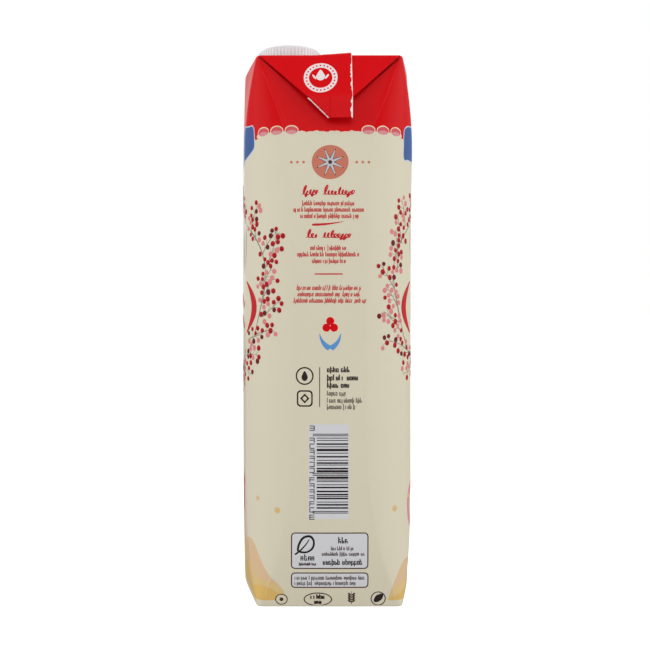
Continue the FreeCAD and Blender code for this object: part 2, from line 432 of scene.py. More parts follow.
# ---- sleeve
@dataclass
class Sleeve:
    """The filled tube of board, with its print.

    Its cross-section goes from a crisp rectangle with bowed long sides, at the folds, to eight
    sides in between, where four leaf-shaped facets open at the corners.
    """

    height: float
    end_width: float
    end_depth: float
    bow_end: float = 6.5
    bow_mid: float = 7.4
    side_peak: float = 0.18
    face_bulge: float = 4.0
    face_crown_end: float = 0.02
    face_crown: float = 0.5
    leaf_on_face: float = 14.6
    leaf_on_side: float = 12.5
    leaf_flare: float = 5.2
    corner_crown: float = 0.16
    leaf_crown: float = 3.0
    leaf_power: float = 4.0
    flare_power: float = 6.0
    shoulder_rise: float = 0.8
    shoulder_level: float = 0.86
    shoulder_spread: float = 0.09
    corner_fold: float = 0.8
    page: float = 252.0
    table_step: float = 0.25
    table_levels: int = 161
    column_step: float = 0.63
    row_count: int = 84
    rim: float = 0.7
    base_rim: float = 1.6
    base_slope: float = 3.0
    base_rise: float = 2.8
    table: np.ndarray = field(init=False, repr=False)

    def __post_init__(self) -> None:
        """Works out the table of wall points that all pieces read."""
        levels = (1 - np.cos(np.pi * np.arange(self.table_levels) / (self.table_levels - 1))) / 2
        self.table = np.array([self._ring(level) for level in levels])

    def _blend(self, at_folds: float, at_middle: float, opening: float) -> float:
        """A size between its value at the folds and its value at mid-height."""
        return at_folds + (at_middle - at_folds) * opening

    def _ring(self, level: float) -> np.ndarray:
        """Wall points round one level, evenly spaced, from the far middle round to it again."""
        opening = 1 - abs(1 - 2 * level) ** self.leaf_power
        bump = math.exp(-((level - self.shoulder_level) / self.shoulder_spread) ** 2)
        flare = self.leaf_flare * (1 - abs(1 - 2 * level) ** self.flare_power) + self.shoulder_rise * bump
        half_width, half_depth = self.end_width / 2, self.end_depth / 2
        face_x = half_width - self._blend(self.corner_fold, self.leaf_on_face, opening)
        face_y = half_depth + self.face_bulge * opening
        crease_x = half_width + flare
        crease_y = half_depth - self._blend(self.corner_fold, self.leaf_on_side, opening)
        waist_x = half_width + self._blend(self.bow_end, self.bow_mid, opening)
        face_crown = self._blend(self.face_crown_end, self.face_crown, opening)
        leaf_crown = self._blend(self.corner_crown, self.leaf_crown, opening)
        face = self._crowned((-face_x, -face_y), (face_x, -face_y), face_crown)
        face = face[len(face) // 2:]
        leaf = self._crowned((face_x, -face_y), (crease_x, -crease_y), leaf_crown)
        share = np.linspace(-1, 0, 60)
        rise = np.hypot(share, self.side_peak) - self.side_peak
        bow = 1 - rise / (math.hypot(1, self.side_peak) - self.side_peak)
        side = np.column_stack([crease_x + (waist_x - crease_x) * bow, crease_y * share])
        quarter = np.vstack([face, leaf[1:], side[1:]])
        half = np.vstack([quarter, (quarter * [1, -1])[::-1][1:]])
        full = np.vstack([(half * [-1, 1])[::-1][:-1], half])
        run = np.concatenate([[0], np.cumsum(np.hypot(*np.diff(full, axis=0).T))])
        even = np.linspace(0, run[-1], int(round(self.page / self.table_step)) + 1)
        ring = np.column_stack([np.interp(even, run, full[:, axis]) for axis in (0, 1)])[:-1]
        weights = np.array([1, 2, 3, 4, 3, 2, 1]) / 16
        soft = sum(w * np.roll(ring, shift - 3, axis=0) for shift, w in enumerate(weights))
        heights = np.full(len(soft) + 1, level * self.height)
        return np.column_stack([np.vstack([soft, soft[:1]]), heights])

    @staticmethod
    def _crowned(start: Point, end: Point, crown: float) -> np.ndarray:
        """Curved edge between two points that stands out from its chord by the crown."""
        start, end = np.array(start), np.array(end)
        chord = end - start
        outward = np.array([chord[1], -chord[0]]) / np.hypot(*chord)
        middle = (start + end) / 2 + outward * crown * 2
        share = np.linspace(0, 1, 61)[:, None]
        return (1 - share) ** 2 * start + 2 * share * (1 - share) * middle + share ** 2 * end

    def wall(self, u: np.ndarray, z: np.ndarray) -> np.ndarray:
        """Points of the wall.

        Args:
            u: Places round the sleeve.
            z: Heights.

        Returns:
            One point for each place.
        """
        u, z = np.asarray(u, float), np.asarray(z, float)
        columns = self.table.shape[1] - 1
        across = ((u / self.page + 0.5) % 1.0) * columns
        angle = np.arccos(np.clip(1 - 2 * z / self.height, -1, 1))
        up = angle / np.pi * (self.table_levels - 1)
        col = np.minimum(across.astype(int), columns - 1)
        row = np.minimum(up.astype(int), self.table_levels - 2)
        fc, fr = (across - col)[:, None], (up - row)[:, None]
        grid = self.table
        low = grid[row, col] * (1 - fc) + grid[row, col + 1] * fc
        high = grid[row + 1, col] * (1 - fc) + grid[row + 1, col + 1] * fc
        points = low * (1 - fr) + high * fr
        points[:, 2] = z
        return points

    def normals(self, u: np.ndarray, z: np.ndarray) -> np.ndarray:
        """Outward directions of the wall at places round the sleeve."""
        u, z = np.asarray(u, float), np.asarray(z, float)
        reach = 0.35
        low, high = np.clip(z - reach, 0, self.height), np.clip(z + reach, 0, self.height)
        across = self.wall(u + reach, z) - self.wall(u - reach, z)
        up = self.wall(u, high) - self.wall(u, low)
        out = np.cross(across, up)
        return out / np.linalg.norm(out, axis=1)[:, None]

    def build(self, fields: Fields) -> bpy.types.Object:
        """Makes the printed sleeve as one closed mesh.

        Args:
            fields: Fields of colour on the page, in the order in which they are printed.

        Returns:
            The sleeve.
        """
        places, triangles, inks = self._page(fields)
        points = self.wall(places[:, 0], places[:, 1])
        normals = self.normals(places[:, 0], places[:, 1])
        top, base = self.height - self.rim, self.rim
        weld = self._seam(places)
        faces = [tuple(triangle) for triangle in triangles]
        corner_normals = [normals[list(face)] for face in faces]
        corner_uvs = [places[list(face)] for face in faces]
        rings = []
        for edge_z in (top, base):
            ring = [i for i in range(len(places)) if abs(places[i, 1] - edge_z) < 1e-4 and weld[i] == i]
            rings.append(sorted(ring, key=lambda i: places[i, 0]))
        points, extra = self._close(points, normals, places, rings)
        for face, face_normals, face_uvs, ink in extra:
            faces.append(face)
            corner_normals.append(face_normals)
            corner_uvs.append(face_uvs)
            inks.append(ink)
        faces = [tuple(weld.get(i, i) for i in face) for face in faces]
        order = list(Ink)
        sleeve = mesh_object("sleeve", points, faces, [ink.value for ink in order],
                             [order.index(ink) for ink in inks])
        layer = sleeve.data.uv_layers.new(name="page")
        flat = np.vstack(corner_uvs) / [self.page, self.height] + [0.5, 0]
        layer.data.foreach_set("uv", flat.ravel())
        sleeve.data.normals_split_custom_set(np.vstack(corner_normals).tolist())
        return sleeve

    def _page(self, fields: Fields) -> tuple[np.ndarray, list, list[Ink]]:
        """Cuts the page into triangles along the edges of every field.

        Args:
            fields: Fields of colour, later ones on top.

        Returns:
            Places of the points, triangles, and the ink of each triangle.
        """
        half = self.page / 2
        columns = int(round(self.page / self.column_step))
        u_lines = np.linspace(-half, half, columns + 1)
        share = (1 - np.cos(np.pi * np.arange(self.row_count + 1) / self.row_count)) / 2
        even = np.arange(self.row_count + 1) / self.row_count
        z_lines = self.rim + (self.height - 2 * self.rim) * (0.5 * share + 0.5 * even)
        grid = [Vector((u, z)) for z in z_lines for u in u_lines]
        outlines, edges = [], []
        for ink, outline in fields:
            held = [(min(max(u, -half), half), min(max(z, self.rim), self.height - self.rim)) for u, z in outline]
            start = len(grid)
            grid += [Vector(place) for place in divided(held, 2 * self.column_step)]
            edges += [(i, i + 1) for i in range(start, len(grid) - 1)] + [(len(grid) - 1, start)]
            outlines.append((ink, held))
        result = delaunay_2d_cdt(grid, edges, [], 0, 1e-4)
        places = np.array([tuple(place) for place in result[0]])
        corners = places[np.array(result[2])]
        sides = corners[:, 1:] - corners[:, :1]
        area = sides[:, 0, 0] * sides[:, 1, 1] - sides[:, 1, 0] * sides[:, 0, 1]
        triangles = [list(face) if turn > 0 else list(face)[::-1]
                     for face, turn in zip(result[2], area) if abs(turn) > 1e-9]
        middles = corners[np.abs(area) > 1e-9].mean(axis=1)
        topmost = np.full(len(triangles), -1)
        for index, (_, held) in enumerate(outlines):
            low, high = np.min(held, axis=0), np.max(held, axis=0)
            near = np.flatnonzero(np.all((middles > low) & (middles < high), axis=1))
            topmost[near[covered(middles[near], held)]] = index
        inks = [outlines[index][0] if index >= 0 else Ink.CREAM for index in topmost]
        return places, triangles, inks

    def _seam(self, places: np.ndarray) -> dict[int, int]:
        """Joins the page's right edge to its left one, as the point number that each point takes."""
        half = self.page / 2
        left = {round(z, 3): i for i, (u, z) in enumerate(places) if abs(u + half) < 1e-4}
        weld = {i: i for i in range(len(places))}
        for i, (u, z) in enumerate(places):
            if abs(u - half) < 1e-4:
                weld[i] = left.get(round(z, 3), i)
        return weld

    def _close(self, points: np.ndarray, normals: np.ndarray, places: np.ndarray,
               rings: list[list[int]]) -> tuple[np.ndarray, list]:
        """Rounds the rims and closes the top and the base.

        Args:
            points: Points of the wall.
            normals: Their directions.
            places: Their places on the page.
            rings: Point numbers round the top edge and round the base edge.

        Returns:
            All points, and the new faces with their directions, places and inks.
        """
        points = list(points)
        extra = []
        half = np.array([self.end_width / 2 + self.bow_end, self.end_depth / 2])
        steps = [math.radians(angle) for angle in (22.5, 45, 67.5, 90)]
        for ring, sign, ink in ((rings[0], 1, Ink.RED), (rings[1], -1, Ink.CREAM)):
            wall_normals = normals[ring] * [1, 1, 0]
            wall_normals /= np.linalg.norm(wall_normals, axis=1)[:, None]
            start = np.array([points[i] for i in ring])
            rows = [(np.array(ring), wall_normals, places[ring])]
            plan = [(self.rim * (1 - math.cos(a)), self.rim * math.sin(a), a) for a in steps]
            if sign > 0:
                plan += [(inset, self.rim, math.pi / 2) for inset in (4, 12, 22, 30, 33.9)]
            else:
                plan += [(self.base_rim, self.rim, math.pi / 2),
                         (self.base_rim + self.base_slope, self.rim - self.base_rise, math.pi / 2)]
                plan += [(inset, self.rim - self.base_rise, math.pi / 2) for inset in (14, 26, 33.9)]
            for inset, rise, angle in plan:
                shrunk = start.copy()
                shrunk[:, :2] *= 1 - inset / half
                shrunk[:, 2] += sign * rise
                first = len(points)
                points.extend(shrunk)
                tilted = wall_normals * math.cos(angle) + np.array([0, 0, sign * math.sin(angle)])
                spots = places[ring] + [0, sign * (3 + inset + rise)]
                rows.append((np.arange(first, first + len(ring)), tilted, spots))
            count = len(ring)
            for below, above in zip(rows, rows[1:]):
                for column in range(count):
                    after = (column + 1) % count
                    picks = [(below, column), (below, after), (above, after), (above, column)]
                    if sign < 0:
                        picks.reverse()
                    face = tuple(int(row[0][i]) for row, i in picks)
                    shift = [np.array([self.page if after == 0 and i == 0 else 0.0, 0]) for _, i in picks]
                    extra.append((face, np.array([row[1][i] for row, i in picks]),
                                  np.array([row[2][i] for row, i in picks]) + shift, ink))
            last = rows[-1]
            middle = np.mean([points[i] for i in last[0]], axis=0)
            points.append(middle)
            for column in range(count):
                after = (column + 1) % count
                picks = [column, after] if sign > 0 else [after, column]
                face = (int(last[0][picks[0]]), int(last[0][picks[1]]), len(points) - 1)
                spots = np.array([last[2][picks[0]], last[2][picks[1]], last[2][picks[0]] + [0, sign * 2]])
                extra.append((face, np.array([[0, 0, sign]] * 3, float), spots, ink))
        return np.array(points), extra


# ---- folded board
@dataclass
class FoldPath:
    """Line in y and z that folded board follows, with rounded corners."""

    corners: Points
    radii: list[float]
    step: float = 0.25

    def __post_init__(self) -> None:
        """Samples the path by its length."""
        line = [np.array(self.corners[0])]
        for index, radius in enumerate(self.radii, 1):
            here = np.array(self.corners[index])
            back = np.array(self.corners[index - 1]) - here
            ahead = np.array(self.corners[index + 1]) - here
            back, ahead = back / np.hypot(*back), ahead / np.hypot(*ahead)
            turn = math.pi - math.acos(float(np.clip(back @ ahead, -1, 1)))
            reach = radius * math.tan(turn / 2)
            middle = (back + ahead) / np.hypot(*(back + ahead))
            centre = here + middle * radius / math.cos(turn / 2)
            start, end = here + back * reach - centre, here + ahead * reach - centre
            for share in np.linspace(0, 1, 9):
                mixed = start * math.sin((1 - share) * turn) + end * math.sin(share * turn)
                line.append(centre + mixed / math.sin(turn))
        line.append(np.array(self.corners[-1]))
        line = np.array(line)
        self.run = np.concatenate([[0], np.cumsum(np.hypot(*np.diff(line, axis=0).T))])
        self.line = line

    def at(self, run: float, offset: float = 0.0) -> np.ndarray:
        """Point at a length along the path, moved to its left by the offset.

        Args:
            run: Length from the path's start.
            offset: Distance to the left of the path.

        Returns:
            The point's y and z.
        """
        here = self._raw(run)
        ahead = self._raw(run + self.step) - self._raw(run - self.step)
        ahead /= np.hypot(*ahead)
        return here + np.array([-ahead[1], ahead[0]]) * offset

    def _raw(self, run: float) -> np.ndarray:
        """Point on the path, carried straight on past its ends."""
        held = min(max(run, 0.0), self.run[-1])
        point = np.array([np.interp(held, self.run, self.line[:, axis]) for axis in (0, 1)])
        if run < 0:
            point += (self.line[1] - self.line[0]) / np.hypot(*(self.line[1] - self.line[0])) * run
        if run > self.run[-1]:
            way = (self.line[-1] - self.line[-2]) / np.hypot(*(self.line[-1] - self.line[-2]))
            point += way * (run - self.run[-1])
        return point

    def nearest(self, corner: Point) -> float:
        """Length along the path at which it passes a corner."""
        gaps = np.hypot(*(self.line - np.array(corner)).T)
        return float(self.run[int(np.argmin(gaps))])


def swept(name: str, path: FoldPath, rings: list[tuple[float, Points]], finish: Finish,
          mirrored: bool = False, flipped: bool = False) -> bpy.types.Object:
    """Makes a closed bar of board along a fold path.

    Args:
        name: Name of the piece.
        path: The path.
        rings: Run along the path and section, as x and distance to the path's left, of each ring.
        finish: The finish.
        mirrored: Whether the bar lies on the far side.
        flipped: Whether the section runs clockwise.

    Returns:
        The bar.
    """
    points = []
    for run, ring in rings:
        for x, offset in ring:
            y, z = path.at(run, offset)
            points.append((x, -y if mirrored else y, z))
    faces = tube_faces(len(rings), len(rings[0][1]))
    if flipped:
        faces = [face[::-1] for face in faces]
    return mesh_object(name, np.array(points), faces, [finish])


@dataclass
class TopFolds:
    """The ears folded down over the narrow panels, and the fin folded to the +X side."""

    height: float
    end_width: float
    end_depth: float
    ply: float
    reach: float = 27.8
    bend_at: float = 19.5
    tilt: float = 18.0
    bend_radius: float = 12.0
    crease_radius: float = 1.6
    crease_proud: float = 0.6
    crease_sink: float = 0.06
    corner_fold: float = 0.8
    fin_width: float = 8.6
    fin_low: float = 0.4
    ramp: float = 6.0
    edge: float = 0.42
    start_in: float = 3.0
    path: FoldPath = field(init=False, repr=False)
    crease_run: float = field(init=False)

    def __post_init__(self) -> None:
        """Lays the near ear's path: top panel, crease, soft bend, tip."""
        tilt = math.radians(self.tilt)
        crease = (-self.end_depth / 2 - self.crease_proud, self.height)
        bend = (crease[0] - self.bend_at * math.sin(tilt), crease[1] - self.bend_at * math.cos(tilt))
        tip = (bend[0], bend[1] - (self.reach - self.bend_at))
        start = (-self.end_depth / 2 + self.start_in, self.height)
        self.path = FoldPath([start, crease, bend, tip], [self.crease_radius, self.bend_radius])
        self.crease_run = self.path.nearest(crease)

    def half_width(self, drop: float) -> float:
        """Half the ear's width at a length below the crease."""
        half = self.end_width / 2 - self.corner_fold
        return half * (1 - max(drop, 0.0) / self.reach)

    def lift(self, x: float) -> float:
        """How far the ear's face rises towards the fin that lies on it."""
        rise = self.fin_low * smoothstep((x + self.ramp) / self.ramp)
        if x > 0:
            rise = self.fin_low * 0.5 * (1 - smoothstep((x - self.fin_width + 2.0) / 1.6))
        return float(rise)

    def ear(self, name: str, far: bool) -> bpy.types.Object:
        """Makes one ear as a closed folded plate with rounded edges.

        Args:
            name: Name of the piece.
            far: Whether it is the ear over the far panel.

        Returns:
            The ear.
        """
        drops = np.concatenate([np.linspace(-self.start_in, 1.5, 16), np.linspace(2.2, self.reach - 0.25, 42)])
        angles = np.linspace(0, math.pi, 9)[1:-1]
        rings = []
        for drop in drops:
            half = max(self.half_width(drop), 0.3)
            edge = min(self.edge, half * 0.6)
            flat = np.linspace(-(half - edge), half - edge, 49)
            sunk = self.crease_sink * float(smoothstep(-drop / 1.2))
            ring = [(x, sunk - self.lift(x)) for x in flat]
            ring += [(half - edge + edge * math.sin(a), edge * (1 - math.cos(a))) for a in angles]
            ring += [(x, 2 * edge) for x in flat[::-4]]
            ring += [(-(half - edge + edge * math.sin(a)), edge * (1 - math.cos(a))) for a in angles[::-1]]
            rings.append((self.crease_run + drop, ring))
        return swept(name, self.path, rings, Ink.RED.value, far, not far)

    def _over_top(self) -> FoldPath:
        """Path of the fin: up the near ear, along the top and down the far ear."""
        near = [self.path.corners[3], self.path.corners[2], self.path.corners[1]]
        far = [(-y, z) for y, z in near[::-1]]
        radii = [self.bend_radius, self.crease_radius, self.crease_radius, self.bend_radius]
        return FoldPath(near + far, radii)

    def fin_top(self, x: float) -> float:
        """Height of the fin's face over the board beneath it."""
        return self.fin_low + (self.ply - self.fin_low) * x / self.fin_width

    def fin(self) -> bpy.types.Object:
        """Makes the fin, which opens a little towards its cut edge."""
        path = self._over_top()
        fold = 0.3
        shape = [(x, self.fin_top(x)) for x in np.linspace(fold, self.fin_width, 13)]
        shape += [(self.fin_width, 0.5), (self.fin_width, -0.1), (self.fin_width / 2, -0.15), (fold, -0.15),
                  (0.08, -0.02), (0.02, 0.1), (0.06, self.fin_low - 0.12), (0.16, self.fin_low - 0.03)]
        return swept("top_fin", path, [(run, shape) for run in np.linspace(0, path.run[-1], 241)], Ink.RED.value)

    def fin_edge(self) -> bpy.types.Object:
        """Makes the fin's raw cut edge: a torn white line along its outer side."""
        path = self._over_top()
        chance = random.Random(11)
        step = 0.35
        count = int(path.run[-1] / step)
        widths, drift = [], 0.4
        for _ in range(count + 1):
            drift += chance.uniform(-0.22, 0.22)
            drift = min(max(drift, 0.08), 0.72)
            widths.append(drift)
        for end in (0, 1):
            for i in range(6, 13):
                index = i if end == 0 else count - i
                widths[index] = 0.62 + 0.3 * math.sin((i - 6) / 6 * math.pi)
        rings = []
        wide = self.fin_width
        for index, width in enumerate(widths):
            left = wide - width
            rings.append((index * step, [
                (left, self.fin_top(left) - 0.05), (left, self.fin_top(left) + 0.03),
                (wide + 0.05, self.fin_top(wide) + 0.04), (wide + 0.1, 0.45), (wide + 0.05, -0.1),
                (wide - 0.1, -0.1)]))
        return swept("fin_raw_edge", path, rings, RawPaper())

    def ear_edge(self, name: str, far: bool) -> bpy.types.Object:
        """Makes the pale cut edge that shows along the lower part of an ear's -X side."""
        rings = []
        for drop in np.linspace(self.reach * 0.7, self.reach - 0.5, 30):
            half = self.half_width(drop)
            rings.append((self.crease_run + drop, [(-half - 0.45, 0.35), (-half + 0.35, 0.2), (-half + 0.35, 0.75),
                                                   (-half - 0.45, 0.8)]))
        return swept(name, self.path, rings, RawPaper(), far, not far)


# ---- closure
@dataclass
class ScrewCap:
    """Ribbed cap with a tamper band below it."""

    centre: Point
    bottom: float
    top: float
    radius: float
    rib_count: int = 60
    rib_depth: float = 0.28
    band: float = 2.2
    slit: float = 0.4
    slit_depth: float = 0.7
    edge: float = 0.9
    dish: float = 0.4
    dish_rim: float = 2.2
    columns: int = 120

    def profile(self) -> Points:
        """Radius and height of the turned cap, from the middle of its underside to its top."""
        root = self.radius - self.rib_depth
        neck = root - self.slit_depth
        grip = self.bottom + self.band + self.slit
        line = [(0.01, self.bottom), (root - 0.25, self.bottom), (root, self.bottom + 0.25),
                (root, self.bottom + self.band - 0.15), (root - 0.15, self.bottom + self.band),
                (neck, self.bottom + self.band), (neck, grip), (root - 0.15, grip), (root, grip + 0.15)]
        turned = self.edge - 0.1
        for angle in np.radians(np.linspace(0, 90, 8)):
            line.append((root - turned + turned * math.cos(angle), self.top - turned + turned * math.sin(angle)))
        dish = self.radius - self.dish_rim
        line += [(dish + 0.2, self.top), (dish, self.top - 0.06), (dish - self.dish, self.top - self.dish + 0.05),
                 (dish - self.dish - 0.3, self.top - self.dish), (0.01, self.top - self.dish)]
        return line

    def rib(self) -> bpy.types.Object:
        """One rib on the +X side, with rounded crest and a top that runs out into the edge."""
        root = self.radius - self.rib_depth
        low = self.bottom + self.band + self.slit + 0.12
        high = self.top - self.edge * 0.55
        pitch = 2 * math.pi * root / self.rib_count
        points = []
        rows = [(low, 0.25), (low + 0.25, 1.0), (high - 0.7, 1.0), (high - 0.3, 0.7), (high, 0.1)]
        for z, share in rows:
            for across, rise in ((-0.34, -0.3), (-0.26, 0.55), (-0.13, 0.95), (0.0, 1.0), (0.13, 0.95),
                                 (0.26, 0.55), (0.34, -0.3)):
                points.append((root + (rise * self.rib_depth * share if rise > 0 else rise),
                               across * pitch, z))
        return mesh_object("rib_master", np.array(points), tube_faces(len(rows), 7), [])

    def tree(self) -> bpy.types.NodeTree:
        """Node tree that sets the ribs round the turned cap."""
        tree, graph, outside, sockets = new_tree("rib_ring", {
            "Rib": "NodeSocketObject", "Count": "NodeSocketInt", "Axis": "NodeSocketVector",
            "Material": "NodeSocketMaterial"})
        rib = graph.node("GeometryNodeObjectInfo", {"transform_space": "RELATIVE"},
                         {"Object": sockets["Rib"]})
        points = graph.node("GeometryNodeMeshLine", {"mode": "OFFSET"}, {
            "Count": sockets["Count"], "Offset": (0, 0, 0)})
        index = graph.number(graph.node("GeometryNodeInputIndex").outputs[0])
        turn = index * (2 * math.pi) / graph.number(sockets["Count"])
        angle = graph.node("FunctionNodeAxisAngleToRotation", None, {"Axis": (0, 0, 1), "Angle": turn})
        placed = graph.node("GeometryNodeSetPosition", None, {
            "Geometry": points, "Position": sockets["Axis"]})
        ribs = graph.node("GeometryNodeInstanceOnPoints", None, {
            "Points": placed, "Instance": rib.outputs["Geometry"], "Rotation": angle})
        joined = graph.node("GeometryNodeJoinGeometry")
        for part in (sockets["Geometry"], ribs):
            graph.feed(joined.inputs[0], part)
        real = graph.node("GeometryNodeRealizeInstances", None, {"Geometry": joined})
        dressed = graph.node("GeometryNodeSetMaterial", None, {
            "Geometry": real, "Material": sockets["Material"]})
        graph.feed(outside.inputs[0], dressed)
        return tree

    def build(self, finish: Finish) -> bpy.types.Object:
        """Makes the cap.

        Args:
            finish: Its plastic.

        Returns:
            The cap, with all its ribs.
        """
        line = self.profile()
        points = []
        for radius, z in line:
            for column in range(self.columns):
                angle = 2 * math.pi * column / self.columns
                points.append((self.centre[0] + radius * math.cos(angle),
                               self.centre[1] + radius * math.sin(angle), z))
        cap = mesh_object("ribbed_cap", np.array(points), tube_faces(len(line), self.columns), [finish])
        rib = self.rib()
        apply_tree(cap, self.tree(), {
            "Rib": rib, "Count": self.rib_count, "Axis": (self.centre[0] * MM, self.centre[1] * MM, 0.0),
            "Material": finish.material()})
        bpy.data.objects.remove(rib)
        return cap


def new_tree(name: str, inputs: dict[str, str]) -> tuple:
    """Starts a geometry node tree.

    Args:
        name: Name of the tree.
        inputs: Socket type of each named input after the geometry.

    Returns:
        The tree, its graph, its output node, and the input sockets by name.
    """
    tree = bpy.data.node_groups.new(name, "GeometryNodeTree")
    tree.interface.new_socket(name="Geometry", in_out="OUTPUT", socket_type="NodeSocketGeometry")
    tree.interface.new_socket(name="Geometry", in_out="INPUT", socket_type="NodeSocketGeometry")
    for label, kind in inputs.items():
        tree.interface.new_socket(name=label, in_out="INPUT", socket_type=kind)
    graph = Graph(tree)
    inside = graph.node("NodeGroupInput")
    outside = graph.node("NodeGroupOutput")
    sockets = {socket.name: socket for socket in inside.outputs if socket.name}
    return tree, graph, outside, sockets


def apply_tree(piece: bpy.types.Object, tree: bpy.types.NodeTree, values: dict) -> None:
    """Runs a geometry node tree on an object and keeps the result as its plain mesh.

    Args:
        piece: The object.
        tree: The node tree.
        values: Value of each named input.
    """
    modifier = piece.modifiers.new(tree.name, "NODES")
    modifier.node_group = tree
    for item in tree.interface.items_tree:
        if item.in_out == "INPUT" and item.name in values:
            modifier[item.identifier] = values[item.name]
    graph = bpy.context.evaluated_depsgraph_get()
    mesh = bpy.data.meshes.new_from_object(piece.evaluated_get(graph))
    piece.modifiers.clear()
    piece.data = mesh
    mesh.polygons.foreach_set("use_smooth", [True] * len(mesh.polygons))


# ---- print
def rounded_box(left: float, low: float, right: float, high: float, radius: float) -> Points:
    """Outline of a rectangle with rounded corners."""
    outline = []
    corners = ((right - radius, high - radius, 0), (left + radius, high - radius, 90),
               (left + radius, low + radius, 180), (right - radius, low + radius, 270))
    for u, z, start in corners:
        for step in range(5):
            angle = math.radians(start + step * 22.5)
            outline.append((u + radius * math.cos(angle), z + radius * math.sin(angle)))
    return outline


def ellipse(u: float, z: float, wide: float, tall: float, turn: float = 0.0, count: int = 28,
            wobble: float = 0.0, seed: int = 0) -> Points:
    """Outline of an ellipse, turned by an angle in degrees and made uneven by the wobble."""
    chance = random.Random(seed)
    waves = [(k, chance.uniform(-1, 1), chance.uniform(0, 6.28)) for k in (2, 3, 5)]
    outline = []
    for step in range(count):
        angle = 2 * math.pi * step / count
        swell = 1 + wobble * sum(size * math.sin(k * angle + lag) / k for k, size, lag in waves)
        a, b = wide * swell * math.cos(angle), tall * swell * math.sin(angle)
        c, s = math.cos(math.radians(turn)), math.sin(math.radians(turn))
        outline.append((u + a * c - b * s, z + a * s + b * c))
    return outline


def smooth_outline(knots: Points, steps: int = 4) -> Points:
    """Closed outline that runs smoothly through the knots."""
    outline = []
    count = len(knots)
    for i in range(count):
        p0, p1, p2, p3 = (np.array(knots[(i + k) % count]) for k in (-1, 0, 1, 2))
        for step in range(steps):
            t = step / steps
            point = 0.5 * (2 * p1 + (p2 - p0) * t + (2 * p0 - 5 * p1 + 4 * p2 - p3) * t * t
                           + (3 * p1 - p0 - 3 * p2 + p3) * t ** 3)
            outline.append((float(point[0]), float(point[1])))
    return outline


def taper(start: Point, end: Point, wide: float, narrow: float, bend: float = 0.0) -> Points:
    """Outline of a stroke that narrows from its start to its end, bent sideways."""
    a, b = np.array(start), np.array(end)
    along = (b - a) / np.hypot(*(b - a))
    side = np.array([-along[1], along[0]])
    left, right = [], []
    for t in np.linspace(0, 1, 9):
        middle = a + (b - a) * t + side * bend * 4 * t * (1 - t)
        half = (wide + (narrow - wide) * t) / 2
        left.append(tuple(middle + side * half))
        right.append(tuple(middle - side * half))
    return right + left[::-1]


def covered(places: np.ndarray, outline: Points) -> np.ndarray:
    """Tells for each place whether it lies inside the closed outline."""
    turns = np.zeros(len(places), int)
    u, z = places[:, 0], places[:, 1]
    for a, b in zip(outline, outline[1:] + outline[:1]):
        side = (b[0] - a[0]) * (z - a[1]) - (u - a[0]) * (b[1] - a[1])
        turns += ((a[1] <= z) & (b[1] > z) & (side > 0)).astype(int)
        turns -= ((b[1] <= z) & (a[1] > z) & (side < 0)).astype(int)
    return turns != 0


def divided(outline: Points, reach: float) -> Points:
    """Closed outline with its long edges divided, none longer than the reach."""
    points = []
    for a, b in zip(outline, outline[1:] + outline[:1]):
        parts = max(1, math.ceil(math.hypot(b[0] - a[0], b[1] - a[1]) / reach))
        points += [(a[0] + (b[0] - a[0]) * k / parts, a[1] + (b[1] - a[1]) * k / parts) for k in range(parts)]
    return points


